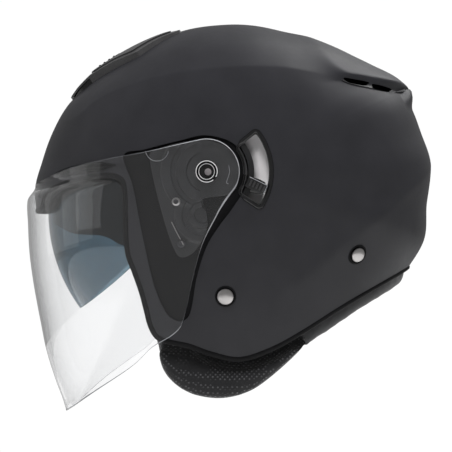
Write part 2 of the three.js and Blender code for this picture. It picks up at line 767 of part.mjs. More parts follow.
function visorShield() {
  const shape = new THREE.Shape();
  shape.moveTo(-160, -9);
  shape.lineTo(-126, -9);
  shape.splineThru(vectors([
    [-113.5, -4], [-93, 3.4], [-66, 9], [-41.5, 13.2], [-18, 18.5], [-7.6, 20.9],
  ]));
  shape.absarc(0, 0, VISOR_EAR_RADIUS, degrees(110), degrees(-30), true);
  shape.splineThru(vectors([
    [11.5, -21.5], [6, -31], [-3.7, -51], [-12, -83], [-16, -101], [-23, -109.5], [-37, -118],
    [-50, -130.5], [-79, -151], [-102.6, -169], [-126, -186],
  ]));
  shape.lineTo(-160, -186);
  const hole = sideHole(PIVOT_BOSS_RADIUS + 0.1, 32);
  let shield = domeWall(VISOR, VISOR_WALL / 2, -VISOR_WALL / 2, sidePrism(shape, -160, 160, 0, 4));
  for (const [, side] of SIDES) {
    shield = shield.subtract(place(hole, [0, 0, 0], [side, 0, 0]));
  }
  return shield;
}

/** Base plate that carries the visor pivot, seated in the shell's side recess. */
function visorPlate() {
  const outline = sidePrism(smoothShape(PLATE_OUTLINE, 2), 60, 160);
  const plate = domeWall(SHELL, 0, -RECESS_DEPTH + GAP, outline);
  const hole = sideHole(PIVOT_HOLE_RADIUS);
  return plate.subtract(place(hole, [0, 0, 0], [1, 0, 0])).subtract(plateScrewHoles());
}

function plateScrewHoles() {
  return wasm.Manifold.union(PLATE_SCREWS.map((spot) => {
    const { point, normal } = domeFrame(SHELL, spot);
    const hole = turned([[0, -1.6], [3.3, -1.6], [3.3, 4], [0, 4]], 16);
    return place(hole, point.toArray(), normal.toArray());
  }));
}

/** Countersunk screw head seated in the base plate. */
function plateScrew(spot) {
  const { point, normal } = domeFrame(SHELL, spot);
  const profile = [[0, -1.2], [2.9, -1.2], [2.9, 0.1], [2.3, 0.7], [0, 0.7]];
  return place(turned(profile, 16), point.toArray(), normal.toArray());
}

/** Pivot: a threaded boss through the base plate, with a round cap outside the visor. */
function pivotCap() {
  const seat = domeX(VISOR, [0, 0]) + VISOR_WALL / 2 + GAP;
  const foot = domeX(SHELL, [0, 0]) - SHELL_WALL - 1.2;
  const profile = [
    [0, foot], [PIVOT_SHANK_RADIUS, foot], [PIVOT_SHANK_RADIUS, seat - 3.2],
    [PIVOT_BOSS_RADIUS, seat - 3.2],
    [PIVOT_BOSS_RADIUS, seat], [PIVOT_CAP_RADIUS, seat], [PIVOT_CAP_RADIUS, seat + 1.6],
    [6.6, seat + 2.4], [5.5, seat + 2.4], [5.2, seat + 1.8], [4.2, seat + 1.8], [3.9, seat + 3],
    [0, seat + 3],
  ];
  return place(turned(profile, 20), [0, 0, 0], [1, 0, 0]);
}

// ---------------------------------------------------------------- sun visor and its lever

/** Half of a rounded drum about the sun visor's axis, offset from the lens' outer face. */
function sunLensBody(offset) {
  const count = 10;
  const exponent = 2 / SUN_LENS_POWER;
  const profile = Array.from({ length: count + 1 }, (_, i) => {
    const angle = degrees(-90 + (180 * i) / count);
    const height = Math.sign(angle) * Math.abs(Math.sin(angle)) ** exponent;
    return [
      (SUN_LENS_RADIUS + offset) * Math.abs(Math.cos(angle)) ** exponent,
      (SUN_LENS_HALF_WIDTH + offset) * height,
    ];
  });
  profile[0][0] = 0;
  profile[count][0] = 0;
  return place(turned(profile, 40), [0, ...SUN_PIVOT], [1, 0, 0]);
}

function sunLens() {
  const [y, z] = SUN_PIVOT;
  const shape = new THREE.Shape();
  shape.moveTo(-150, 5);
  shape.lineTo(-104, 5);
  shape.quadraticCurveTo(-62, 5, -52, -19);
  shape.lineTo(y - 7, z + 8);
  shape.absarc(y, z, 10, degrees(130), degrees(-130), true);
  shape.lineTo(-48, -57);
  shape.lineTo(-88, -92.5);
  shape.lineTo(-96, -98);
  shape.lineTo(-150, -130);
  const wall = sunLensBody(0).subtract(sunLensBody(-SUN_LENS_WALL));
  const hole = sideHole(SUN_PIN_RADIUS + 0.1);
  let lens = wall.intersect(sidePrism(shape, -160, 160, 0, 8));
  for (const [, side] of SIDES) {
    lens = lens.subtract(place(hole, [0, y, z], [side, 0, 0]));
  }
  return lens;
}

/** Pin that the sun visor turns on, held by the foam side of its housing. */
function sunPin() {
  const face = SUN_LENS_HALF_WIDTH;
  const flange = face - SUN_LENS_WALL - GAP - 0.4;
  const profile = [
    [0, face - 9], [6, face - 9], [6, flange], [SUN_PIN_RADIUS, flange],
    [SUN_PIN_RADIUS, face + 0.2], [0, face + 0.2],
  ];
  return place(turned(profile, 24), [0, ...SUN_PIVOT], [1, 0, 0]);
}

/** Lever: a hub on the visor pivot, an arm behind the slot and a ribbed thumb tab through it. */
function sunLever() {
  const arm = new THREE.Shape();
  arm.absarc(0, 0, 7, degrees(60), degrees(300), false);
  arm.lineTo(36, -5);
  arm.lineTo(40, -4);
  arm.lineTo(40, 4);
  arm.lineTo(36, 5);
  let lever = sidePrism(arm, LEVER_PLANE, LEVER_PLANE + LEVER_ARM_WALL, 0, 8);
  lever = lever.subtract(place(sideHole(PIVOT_HOLE_RADIUS), [0, 0, 0], [1, 0, 0]));
  lever = lever.add(box([LEVER_PLANE + 1, 31, -3], [LEVER_PLANE + 11, 38, 3]));
  lever = lever.add(box([LEVER_PLANE + 10.5, 29, -5], [LEVER_PLANE + 13, 40, 5]));
  for (let i = 0; i < 5; i += 1) {
    const y = 29.6 + i * 2.2;
    lever = lever.add(box([LEVER_PLANE + 12.5, y, -5], [LEVER_PLANE + 14.4, y + 1.2, 5]));
  }
  return lever.rotate([LEVER_ANGLE, 0, 0]);
}

/** Frame around the lever slot, with a lip that sits on the shell. */
function leverBezel() {
  const lip = domeWall(SHELL, 1.6, GAP, slotCutter(2.4, 60, 160));
  const collar = domeWall(SHELL, 1.5, -SHELL_WALL, slotCutter(-GAP, 60, 160));
  return lip.add(collar).subtract(slotCutter(-2, 60, 160));
}

/** Smooth dished panel behind the lever arm. */
function leverPanel() {
  const outline = sectorShape([0, 0], SLOT_INNER - 3, SLOT_OUTER + 3, SLOT_LOW - 4, SLOT_HIGH + 4);
  return sidePrism(outline, LEVER_PLANE - 3.6, LEVER_PLANE - 1.4, 0, 10);
}

// ---------------------------------------------------------------- rivets and chin strap

/** Domed rivet: head outside, shank through the shell and a small tail inside. */
function rivet([side, spot]) {
  const { point, normal } = rivetFrame(side, spot);
  const profile = [
    [0, -7], [RIVET_SHANK_RADIUS, -7], [RIVET_SHANK_RADIUS, 1.5], [RIVET_HEAD_RADIUS, 1.5],
    [RIVET_HEAD_RADIUS, 2.2], [4.6, 3], [2.4, 3.5], [0, 3.6],
  ];
  return place(turned(profile, 16), point, normal);
}

/** Dark cup washer under the rivet head. */
function rivetWasher([side, spot]) {
  const { point, normal } = rivetFrame(side, spot);
  const bore = RIVET_SHANK_RADIUS + 0.2;
  const profile = [
    [bore, 0.45], [WASHER_RADIUS, 0.45], [WASHER_RADIUS, 0.8], [WASHER_RADIUS - 0.6, 1.2], [bore, 1.2],
    [bore, 0.45],
  ];
  return place(turned(profile, 16), point, normal);
}

/** Slot through the cheek pad for the webbing. */
function strapSlot() {
  const half = WEB_WIDTH / 2 + 1.5;
  return box([50, STRAP_Y - half, -121.4], [110, STRAP_Y + half, -115.6]);
}

/** Webbing's way from the front rivet down inside the shell and in through the cheek pad. */
const ANCHOR_LINE = [
  [110.4, -73], [110.2, -86], [107, -99], [101, -110], [94, -116.2], [84, -118.5], [58, -118.5],
];

function strapAnchorBand(thickGrow, wideGrow) {
  const frames = ANCHOR_LINE.map(([x, z], i) => {
    const [x0, z0] = ANCHOR_LINE[Math.max(i - 1, 0)];
    const [x1, z1] = ANCHOR_LINE[Math.min(i + 1, ANCHOR_LINE.length - 1)];
    const normal = new THREE.Vector3(z0 - z1, 0, x1 - x0).normalize();
    return { point: new THREE.Vector3(x, STRAP_Y, z), normal };
  });
  return sweep(frames, webSection(WEB_WALL + thickGrow, WEB_WIDTH + wideGrow), false);
}

/** Webbing inside the helmet, held by the front rivet. */
const strapAnchor = () => strapAnchorBand(0, 0).subtract(rivetHoles(RIVET_SHANK_RADIUS + 0.3));

/** Rear webbing: a slim band from the rear rivet forward to the front one. */
function strapRear(grow) {
  const band = [[107, -50.5], [98, -57.5], [84, -67], [64, -80], [44, -92], [25, -100]];
  const frames = domePath(SHELL, band, -SHELL_WALL - 2.6, 8);
  const thick = 0.7 + grow;
  const wide = 8 + grow;
  const web = sweep(frames, [[-thick, -wide], [thick, -wide], [thick, wide], [-thick, wide]], false);
  return grow > 0 ? web : web.subtract(rivetHoles(RIVET_SHANK_RADIUS + 0.3));
}

/** Strap centre line below the helmet, in the plane across it: [x, z] from one side to the other. */
function strapLine(from, to, count) {
  const top = STRAP_PIVOT_Z - 6;
  const depth = top - STRAP_LOW_Z;
  return Array.from({ length: count }, (_, i) => {
    const x = from + ((to - from) * i) / (count - 1);
    const share = Math.abs(x / STRAP_HALF_SPAN);
    const z = top - depth * (1 - share ** STRAP_CURVE);
    const steepest = (STRAP_CURVE * depth) / STRAP_HALF_SPAN;
    const slope = steepest * share ** (STRAP_CURVE - 1) * Math.sign(x);
    const normal = new THREE.Vector3(-slope, 0, 1).normalize();
    return { point: new THREE.Vector3(x, STRAP_Y, z), normal };
  });
}

const webSection = (thick, wide) => [
  [-thick / 2, -wide / 2], [thick / 2, -wide / 2], [thick / 2, wide / 2], [-thick / 2, wide / 2],
];

const strapBand = (from, to, thick, wide, count = 10) =>
  sweep(strapLine(from, to, count), webSection(thick, wide), false);

/** Padded sleeve round the webbing under the chin. */
function chinPad() {
  const sleeve = sweep(strapLine(-40, 8, 9), ovalSection(5, 17, 14), false);
  return sleeve.subtract(strapBand(-44, 12, WEB_WALL + 0.8, WEB_WIDTH + 0.8));
}

/** Buckle body: a channel that takes the ratchet tongue, with a bridge for the webbing. */
function buckleBody() {
  const outer = strapBand(BUCKLE_FROM, BUCKLE_TO, BUCKLE_WALL, 27, 7);
  const channel = strapBand(BUCKLE_FROM - 4, BUCKLE_TO - 6, 3.4, 19, 9);
  return outer.subtract(channel);
}

/** Toothed tongue on the end of the right strap, inside the buckle. */
function ratchetTongue() {
  let tongue = strapBand(14.6, BUCKLE_TO - 8, 1.4, 17, 8);
  for (const x of [20, 23, 26, 29, 32]) {
    tongue = tongue.add(strapBand(x, x + 1.5, 2.4, 15, 2));
  }
  return tongue;
}

/** Release lever under the buckle, hinged at its inner end. */
function buckleLever() {
  const low = -BUCKLE_WALL / 2 - GAP - 2;
  const high = -BUCKLE_WALL / 2 - GAP;
  const section = [[low, -8], [high, -8], [high, 8], [low, 8]];
  return sweep(strapLine(BUCKLE_FROM + 6, BUCKLE_TO + 3, 6), section, false);
}

// ---------------------------------------------------------------- assembly

add('outer_shell', outerShell(), MATERIAL.shell);
add('shell_edge_trim', edgeTrim(), MATERIAL.rubber);
add('impact_foam_liner', foamLiner(), MATERIAL.foam);
addPair('cheek_foam', cheekFoam(), MATERIAL.foam);
add('crown_liner', crownLiner(), MATERIAL.fabric);
addPair('cheek_pad', cheekPad(), MATERIAL.fabric);
add('neck_roll', neckRoll(), MATERIAL.fabric);
add('brow_seal', browSeal(), MATERIAL.rubber);
add('top_vent_housing', ventHousing(), MATERIAL.plastic);
add('top_vent_slider', ventSlider(), MATERIAL.plastic);
addPair('rear_vent_grille', rearGrille(), MATERIAL.plastic);
addPair('visor_base_plate', visorPlate(), MATERIAL.plastic);
PLATE_SCREWS.forEach((spot, i) => {
  addPair(`base_plate_screw_${i + 1}`, plateScrew(spot), MATERIAL.steel);
});
add('clear_visor', visorShield(), MATERIAL.clear);
addPair('visor_pivot_cap', pivotCap(), MATERIAL.steel);
add('sun_visor_lens', sunLens(), MATERIAL.tint);
addPair('sun_visor_pin', sunPin(), MATERIAL.steel);
add('sun_visor_lever', sunLever(), MATERIAL.plastic);
add('lever_slot_bezel', leverBezel(), MATERIAL.plastic);
add('lever_slot_panel', leverPanel(), MATERIAL.plastic);
for (const [label, side] of SIDES) {
  for (const [where, spot] of [['front', FRONT_RIVET], ['rear', REAR_RIVET]]) {
    add(`strap_rivet_${where}_${label}`, rivet([side, spot]), MATERIAL.steel);
    add(`rivet_washer_${where}_${label}`, rivetWasher([side, spot]), MATERIAL.rubber);
  }
}
addPair('strap_anchor', strapAnchor(), MATERIAL.web);
addPair('strap_rear_band', strapRear(0), MATERIAL.web);
add('chin_strap_left', strapBand(44, STRAP_HALF_SPAN - 1, WEB_WALL, WEB_WIDTH, 6), MATERIAL.web);
add('chin_strap_right', strapBand(-STRAP_HALF_SPAN + 1, 14, WEB_WALL, WEB_WIDTH, 14), MATERIAL.web);
add('chin_pad', chinPad(), MATERIAL.fabric);
add('buckle_body', buckleBody(), MATERIAL.plastic);
add('ratchet_tongue', ratchetTongue(), MATERIAL.plastic);
add('buckle_lever', buckleLever(), MATERIAL.steel);

export default helmet;
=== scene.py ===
"""Open face motorcycle helmet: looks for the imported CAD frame.

Shapes are worked out in millimetres in the row frame (+Z up, front -Y, wearer's left +X, origin
in the middle of the clear visor's pivot axis) and become metres when a mesh is made.
"""

import math

import bmesh
import bpy
import numpy as np
from mathutils import Matrix, Vector

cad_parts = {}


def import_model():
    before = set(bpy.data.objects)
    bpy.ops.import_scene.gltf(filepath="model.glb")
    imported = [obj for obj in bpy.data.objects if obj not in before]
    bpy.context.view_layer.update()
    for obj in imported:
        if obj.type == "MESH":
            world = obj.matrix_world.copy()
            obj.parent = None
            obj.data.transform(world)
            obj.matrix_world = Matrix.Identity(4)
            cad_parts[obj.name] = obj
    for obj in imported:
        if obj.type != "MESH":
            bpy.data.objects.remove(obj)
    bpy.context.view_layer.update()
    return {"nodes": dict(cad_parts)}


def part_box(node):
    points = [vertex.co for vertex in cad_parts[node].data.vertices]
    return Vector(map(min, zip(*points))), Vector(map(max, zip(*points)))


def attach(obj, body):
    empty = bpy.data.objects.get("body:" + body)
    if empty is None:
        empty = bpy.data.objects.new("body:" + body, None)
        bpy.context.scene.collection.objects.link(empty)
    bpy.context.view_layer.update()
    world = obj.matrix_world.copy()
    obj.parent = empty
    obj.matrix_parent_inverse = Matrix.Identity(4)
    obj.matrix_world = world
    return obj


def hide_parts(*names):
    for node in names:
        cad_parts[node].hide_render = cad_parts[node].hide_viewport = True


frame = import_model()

# ---------------------------------------------------------------- dimensions shared with the CAD

MM = 0.001
SIDES = (("left", 1), ("right", -1))

# Millimetres, and degrees for angles. Side view places are (y, z), and stations are (angle, radius)
# about the dome's centre.
SHELL_WALL = 4
RECESS_DEPTH = 2.2
HEAD_POCKET = {"centre": (17, -24), "half_width": 86, "half_length": 103, "rise": 86}
VISOR_WALL = 2
EAR_RADIUS = 22
BOSS_RADIUS = 4.6
EDGE_CHAMFER_WIDTH, EDGE_CHAMFER_DEPTH = 0.6, 0.5
SUN_PIVOT = (0, -26)
SUN_RADIUS = 114.5
SUN_HALF_WIDTH = 107
SUN_WALL = 2
SUN_POWER = 2.4  # 2 would be a true ellipse, and more is squarer
SLOT_INNER, SLOT_OUTER = 27, 43  # radii of the lever slot about the visor's pivot
SLOT_LOW, SLOT_HIGH = -34, 40  # its angles
LEVER_ANGLE = -16
LEVER_PLANE = 112.6  # the lever arm's distance from the middle plane
FRONT_RIVET = (12.5, -83.5)
REAR_RIVET = (101, -55)
CROWN_RISE = 7
SPOILER_END = 144.6  # the crown panel's blunt rear face
CREASE_HEIGHT, CREASE_SOFTNESS = 4.2, 20  # along the crown line
FACET_HEIGHT, FACET_SOFTNESS = 3.4, 18  # along the diagonal crease
STRAP_Y = 6
STRAP_PIVOT_Z = -112
STRAP_LOW_Z = -141
STRAP_TUCK = 6  # the webbing's ends start this far below the swing axis
STRAP_HALF_SPAN = 56
STRAP_CURVE = 2.6  # 2 would hang as a parabola, and more sags flatter
WEB_WIDTH = 23
WEB_WALL = 1.6

SHELL_STATIONS = [
    (-160, 147), (-148, 152), (-135, 170), (-123, 200), (-110, 230), (-90, 205), (-75, 183),
    (-65, 165), (-52, 150), (-40, 142), (-30, 140.5), (-19, 143.3), (-8, 139), (3, 140.2),
    (13, 136.6), (22, 134.6), (30, 129.3), (39, 119.5), (47, 113.6), (63, 107.4), (77, 105.7),
    (93, 106), (112, 108.8), (124, 110.4), (136, 113.6), (150, 122.6), (157, 128.5),
    (166, 133.3), (176, 138), (184, 143), (192, 144.5),
]
VISOR_STATIONS = [
    (-165, 132.5), (-154, 140.5), (-146, 148.5), (-139, 158), (-132, 171), (-127, 181),
    (-121, 196), (-110, 262), (-98, 330), (-60, 330), (0, 150), (100, 123), (184, 123),
    (188, 129.5),
]
CROWN_LINE = [
    (-97, 36), (-85, 40), (-74, 48), (-60, 55), (-40, 61.5), (-18, 66), (13, 70), (45, 71.5),
    (70, 69.8), (88, 67.4), (112, 65), (130, 62.8), (150, 60.2),
]
SHELL_EDGE = [
    (-130, -25), (-121, -24.6), (-116, -22), (-113.5, -16), (-108.5, -10.5), (-100, -6.8),
    (-88, -3.6), (-74, -1.4), (-64, -1.2), (-57, -4.5), (-54.6, -12), (-54, -30), (-53.6, -46),
    (-52, -57), (-48.5, -66), (-43, -81), (-39.5, -94), (-37.2, -103), (-33, -110.5),
    (-26, -113.5), (-12, -116.5), (3, -122), (22, -126), (42, -120), (62, -109.5), (92, -91.5),
    (123, -75), (146, -64),
]
DIAGONAL_CREASE = [
    (25, -101), (37, -92.9), (52, -80), (71, -65.3), (88.6, -51.2), (111, -33.6), (127, -20),
    (143, -6.2), (159, 8),
]
RECESS_OUTLINE = [
    (0, 24.4), (-18, 21.0), (-42, 15.2), (-56, 11.4), (-50, -8), (-46, -28), (-42, -48), (-34, -80),
    (-24, -98), (-12.2, -97), (-6.5, -70), (0, -50), (8.6, -36), (15.8, -26.5), (25, -12), (26.6, 0),
    (19, 18),
]
PLATE_OUTLINE = [
    (0, 21), (-18, 19.5), (-36, 14), (-38, 8), (-35, -8), (-29, -31), (-23, -49), (-18, -57),
    (-10, -55), (-3, -46), (0.5, -36), (-1, -24), (-2, -18), (17, -14), (21.5, 0), (16, 14),
]

VISOR_TOP = [
    (-126, -9), (-113.5, -4), (-93, 3.4), (-66, 9), (-41.5, 13.2), (-18, 18.5), (-7.6, 20.9),
]
VISOR_REAR = [
    (19.05, -11), (11.5, -21.5), (6, -31), (-3.7, -51), (-12, -83), (-16, -101), (-23, -109.5),
    (-37, -118), (-50, -130.5), (-79, -151), (-102.6, -169), (-126, -186),
]
EXTRACTOR_SLOTS = [
    [(93.5, 65.2), (99, 64.9), (110.6, 63.1), (111, 61.7), (108.5, 60.2), (103, 60.8),
     (96.5, 62.1)],
    [(115.2, 61.9), (127.8, 59.5), (126.4, 57.2), (124.4, 56.8), (114.8, 58.3), (113.8, 60.2)],
]
GRILLE_OUTLINE = [
    (87, 66.8), (100, 66.0), (112, 64.6), (128, 62.4), (132.5, 60.3), (128.5, 56.2), (121, 56.4),
    (110, 58.2), (98, 60.4), (91, 63.2),
]
BROW_LINE = [
    (-124, -12.6), (-118, -11.6), (-110, -5.6), (-100, -1.2), (-88, 1.8), (-74, 3.9), (-61, 4.8),
]
ROLL_LINE = [
    (61, -111.5), (72, -104.5), (83, -98), (96, -89.5), (112, -80.5), (124, -74), (138, -67.5),
]

# The top vent is laid out along, across and up from a slope line over the brow.
VENT_ORIGIN = np.array([0, -97.0, 54.0])
VENT_RUN, VENT_CLIMB = 74, 49
VENT_AXIS = np.array([0, VENT_RUN, VENT_CLIMB]) / math.hypot(VENT_RUN, VENT_CLIMB)
VENT_NORMAL = np.array([0, -VENT_CLIMB, VENT_RUN]) / math.hypot(VENT_RUN, VENT_CLIMB)
VENT_TOP = 6.6
VENT_HOOD = 1.3
MOUTH_LENGTH = 19
VENT_RISE = [(-97, 2.2), (-88, 5.2), (-78, VENT_TOP), (-62, 6.0), (-45, 4.0), (-22, 1.2)]
VENT_LEFT = [
    (1, 24), (8, 32), (24, 38), (40, 47), (54, 56), (61, 55), (76, 46), (88, 39), (91, 34), (86, 24),
]
VENT_PLAN = [(0, 0), *VENT_LEFT, (82, 0), *((along, -across) for along, across in VENT_LEFT[::-1])]
SLIDER_PLAN = [(24, 9), (36, 10.5), (46, 9), (48, 0), (46, -9), (36, -10.5), (24, -9), (22, 0)]

SKY = 0.23
BACKDROP = 1.02
GLOSSY_BACKDROP = 0.12
FLOOR_Z, FLOOR_RADIUS = -300, 900
CAMERA_PLACE = (1.7, 0.0129, -0.0363)
CAMERA_LENS = 188

# ---------------------------------------------------------------- curves


def spline(points, per_span=12, closed=False):
    """Uniform Catmull-Rom curve through the points, as an array of points."""
    points = np.asarray(points, float)
    count = len(points)
    if closed:
        padded = np.vstack([points[-1], points, points[:2]])
        spans = count
    else:
        padded = np.vstack([2 * points[0] - points[1], points, 2 * points[-1] - points[-2]])
        spans = count - 1
    t = np.linspace(0, 1, per_span, endpoint=False)[:, None]
    pieces = []
    for i in range(spans):
        a, b, c, d = padded[i:i + 4]
        pieces.append(0.5 * (2 * b + (c - a) * t + (2 * a - 5 * b + 4 * c - d) * t ** 2
                             + (3 * b - a - 3 * c + d) * t ** 3))
    curve = np.vstack(pieces)
    return curve if closed else np.vstack([curve, points[-1]])


def evenly(points, count, closed=False):
    """The same polyline with evenly spaced points."""
    points = np.asarray(points, float)
    line = np.vstack([points, points[:1]]) if closed else points
    travelled = np.concatenate([[0], np.cumsum(np.linalg.norm(np.diff(line, axis=0), axis=1))])
    stops = np.linspace(0, travelled[-1], count, endpoint=not closed)
    return np.column_stack([np.interp(stops, travelled, line[:, k]) for k in range(line.shape[1])])


def arc(centre, radius, start, end, count=24):
    """Points on a circle in the side view, angles in degrees."""
    angle = np.radians(np.linspace(start, end, count))
    return np.column_stack([centre[0] + radius * np.cos(angle), centre[1] + radius * np.sin(angle)])


def smoothstep(value):
    """0 below 0, 1 above 1, and a smooth rise between."""
    t = np.clip(value, 0, 1)
    return t * t * (3 - 2 * t)


# ---------------------------------------------------------------- domes


class Dome:
    """Rounded body whose side silhouette is given by (angle, radius) stations about a centre."""

    def __init__(self, centre, half_width, power, stations):
        self.centre = centre
        self.half_width = half_width
        self.power = power
        angle = np.array([s[0] for s in stations], float)
        self.angles = np.concatenate([angle - 360, angle, angle + 360])
        self.radii = np.tile([s[1] for s in stations], 3).astype(float)
        slope = np.diff(self.radii) / np.diff(self.angles)
        before, after = slope[:-1], slope[1:]
        same = before * after > 0
        mean = np.where(same, 2 * before * after / np.where(same, before + after, 1), 0)
        self.tangents = np.concatenate([[0], mean, [0]])

    def radius(self, alpha):
        angle = (np.degrees(alpha) + 180) % 360 - 180
        i = np.searchsorted(self.angles, angle, side="right") - 1
        span = self.angles[i + 1] - self.angles[i]
        t = (angle - self.angles[i]) / span
        start, end = self.radii[i], self.radii[i + 1]
        tilt0, tilt1 = self.tangents[i] * span, self.tangents[i + 1] * span
        return (start + t * tilt0 + t ** 2 * (3 * (end - start) - 2 * tilt0 - tilt1)
                + t ** 3 * (tilt0 + tilt1 - 2 * (end - start)))

    def polar(self, alpha, out):
        """Polar angle at a side view distance from the centre."""
        share = np.clip(out / self.radius(alpha), 0, 1)
        return np.arcsin(share ** (self.power / 2))

    def base(self, alpha, polar):
        """Point and outward normal on the left half."""
        rho = self.radius(alpha)
        level = np.clip(np.cos(polar), 0, 1)
        level = np.where(level < 1e-9, 0, level)
        x = self.half_width * level ** (2 / self.power)
        out = rho * np.sin(polar) ** (2 / self.power)
        normal_x = (x / self.half_width) ** (self.power - 1) / self.half_width
        normal_out = (out / rho) ** (self.power - 1) / rho
        length = np.hypot(normal_x, normal_out)
        cos, sin = np.cos(alpha), np.sin(alpha)
        point = np.stack([x, self.centre[0] + out * cos, self.centre[1] + out * sin], -1)
        normal = np.stack([normal_x, normal_out * cos, normal_out * sin], -1)
        return point, normal / length[..., None]

    def at(self, y, z):
        """Point and outward normal on the left half at a side view place."""
        dy, dz = np.asarray(y, float) - self.centre[0], np.asarray(z, float) - self.centre[1]
        alpha = np.arctan2(dz, dy)
        return self.base(alpha, self.polar(alpha, np.hypot(dy, dz)))


SHELL = Dome((19, 0), 123, 2.4, SHELL_STATIONS)
VISOR = Dome((0, 0), 125.8, 2.25, VISOR_STATIONS)

# ---------------------------------------------------------------- mesh making


def new_object(name, points, faces, materials, slots=None, sharp=32, weld=0.004):
    """Object from points in millimetres and lists of corner numbers."""
    mesh = bpy.data.meshes.new(name)
    mesh.from_pydata((np.asarray(points, float) * MM).tolist(), [], [list(f) for f in faces])
    for material in materials:
        mesh.materials.append(material)
    if slots is not None:
        mesh.polygons.foreach_set("material_index", np.asarray(slots, np.int32))
    work = bmesh.new()
    work.from_mesh(mesh)
    bmesh.ops.remove_doubles(work, verts=work.verts, dist=weld * MM)
    bmesh.ops.recalc_face_normals(work, faces=work.faces)
    work.to_mesh(mesh)
    work.free()
    piece = bpy.data.objects.new(name, mesh)
    bpy.context.scene.collection.objects.link(piece)
    soften(piece, sharp)
    return piece


def soften(piece, sharp=32):
    """Smooth shading that keeps edges sharper than an angle."""
    piece.data.shade_smooth()
    piece.data.set_sharp_from_angle(angle=math.radians(sharp))


def apply_modifiers(piece):
    """Turns a piece's modifiers into plain mesh."""
    graph = bpy.context.evaluated_depsgraph_get()
    mesh = bpy.data.meshes.new_from_object(piece.evaluated_get(graph))
    piece.modifiers.clear()
    piece.data = mesh
    return piece


def discard(piece):
    """Removes a piece that was only used for cutting or joining."""
    bpy.data.objects.remove(piece, do_unlink=True)


def combine(piece, other, operation="DIFFERENCE", sharp=32):
    """Boolean with another object, which is used up."""
    modifier = piece.modifiers.new("cut", "BOOLEAN")
    modifier.object = other
    modifier.operation = operation
    modifier.solver = "MANIFOLD"
    modifier.material_mode = "TRANSFER"
    apply_modifiers(piece)
    discard(other)
    soften(piece, sharp)
    return piece


def bevelled(piece, width, segments=2):
    """Rounds every edge sharper than 30 degrees."""
    modifier = piece.modifiers.new("edge", "BEVEL")
    modifier.width = width * MM
    modifier.segments = segments
    modifier.limit_method = "ANGLE"
    modifier.angle_limit = math.radians(30)
    apply_modifiers(piece)
    soften(piece)
    return piece


def flip_sides(mesh):
    """Mirrors a mesh to the other side of the helmet."""
    mesh.transform(Matrix.Scale(-1, 4, (1, 0, 0)))
    mesh.flip_normals()


def mirrored(piece, name):
    """Copy on the wearer's right."""
    mesh = piece.data.copy()
    flip_sides(mesh)
    twin = bpy.data.objects.new(name, mesh)
    bpy.context.scene.collection.objects.link(twin)
    return twin


def vertex_values(mesh, what="co"):
    """Places or normals of a mesh's vertices, one row each."""
    values = np.empty(len(mesh.vertices) * 3)
    mesh.vertices.foreach_get(what, values)
    return values.reshape(-1, 3)


def joined(name, parts):
    """One object from several, keeping their materials."""
    materials, points, faces, slots = [], [], [], []
    total = 0
    for part in parts:
        mesh = part.data
        points.append(vertex_values(mesh) / MM)
        names = list(mesh.materials)
        for material in names:
            if material not in materials:
                materials.append(material)
        for polygon in mesh.polygons:
            faces.append([total + v for v in polygon.vertices])
            slots.append(materials.index(names[polygon.material_index]))
        total += len(mesh.vertices)
        discard(part)
    return new_object(name, np.vstack(points), faces, materials, slots, weld=0.0005)


def grid_faces(rows, columns, start=0, flip=False):
    """Quads over a grid of points laid out row by row, each row closing on itself."""
    j, i = np.meshgrid(np.arange(rows - 1), np.arange(columns), indexing="ij")
    after = (i + 1) % columns
    quads = np.stack([j * columns + i, j * columns + after, (j + 1) * columns + after,
                      (j + 1) * columns + i], -1).reshape(-1, 4) + start
    return quads[:, ::-1] if flip else quads


def double_sheet(rows, columns):
    """Faces of two facing grids of points, joined round their last rows."""
    count = rows * columns
    last = count - columns
    i = np.arange(columns)
    after = (i + 1) % columns
    rim = np.stack([last + i, last + after, count + last + after, count + last + i], -1)
    return np.vstack([grid_faces(rows, columns), grid_faces(rows, columns, count, flip=True), rim])


def prism_faces(count):
    """Both ends and the sides of a prism whose two outlines follow each other."""
    sides = [[i, (i + 1) % count, count + (i + 1) % count, count + i] for i in range(count)]
    return [list(range(count))[::-1], [count + i for i in range(count)], *sides]


def prism(name, outline, x0, x1, materials):
    """Side view outline extruded across the helmet."""
    outline = np.asarray(outline, float)
    count = len(outline)
    near = np.column_stack([np.full(count, x0), outline])
    far = np.column_stack([np.full(count, x1), outline])
    return new_object(name, np.vstack([near, far]), prism_faces(count), materials)


def cut_both_sides(piece, name, outline, x0, x1, material):
    """Cuts a side view outline through a piece, on the left and on the right."""
    for low, high in ((x0, x1), (-x1, -x0)):
        combine(piece, prism(name, outline, low, high, [material]))


def block(name, low, high, materials):
    """Box between two corners."""
    (x0, y0, z0), (x1, y1, z1) = low, high
    return prism(name, [(y0, z0), (y1, z0), (y1, z1), (y0, z1)], x0, x1, materials)


def turned(name, profile, materials, segments, slots=None, sharp=32):
    """Round piece about +Z from a [radius, height] profile that closes on itself or the axis."""
    profile = np.asarray(profile, float)
    closed = profile[0][0] > 0
    line = np.vstack([profile, profile[:1]]) if closed else profile
    angle = np.linspace(0, 2 * np.pi, segments, endpoint=False)
    rings = [np.column_stack([r * np.cos(angle), r * np.sin(angle), np.full(segments, h)])
             for r, h in line]
    faces = grid_faces(len(line), segments)
    bands = None if slots is None else np.repeat(slots, segments)
    return new_object(name, np.vstack(rings), faces, materials, bands, sharp)


def both_sides(rows):
    """Rows of points and directions on the left, and their mirror images on the right."""
    return rows, rows * np.tile((-1, 1, 1), rows.shape[1] // 3)


def placed(piece, point, direction):
    """Turns a piece made about +Z to a direction and moves it to a point in millimetres."""
    turn = Vector((0, 0, 1)).rotation_difference(Vector(direction)).to_matrix().to_4x4()
    piece.data.transform(Matrix.Translation(Vector(point) * MM) @ turn)
    return piece


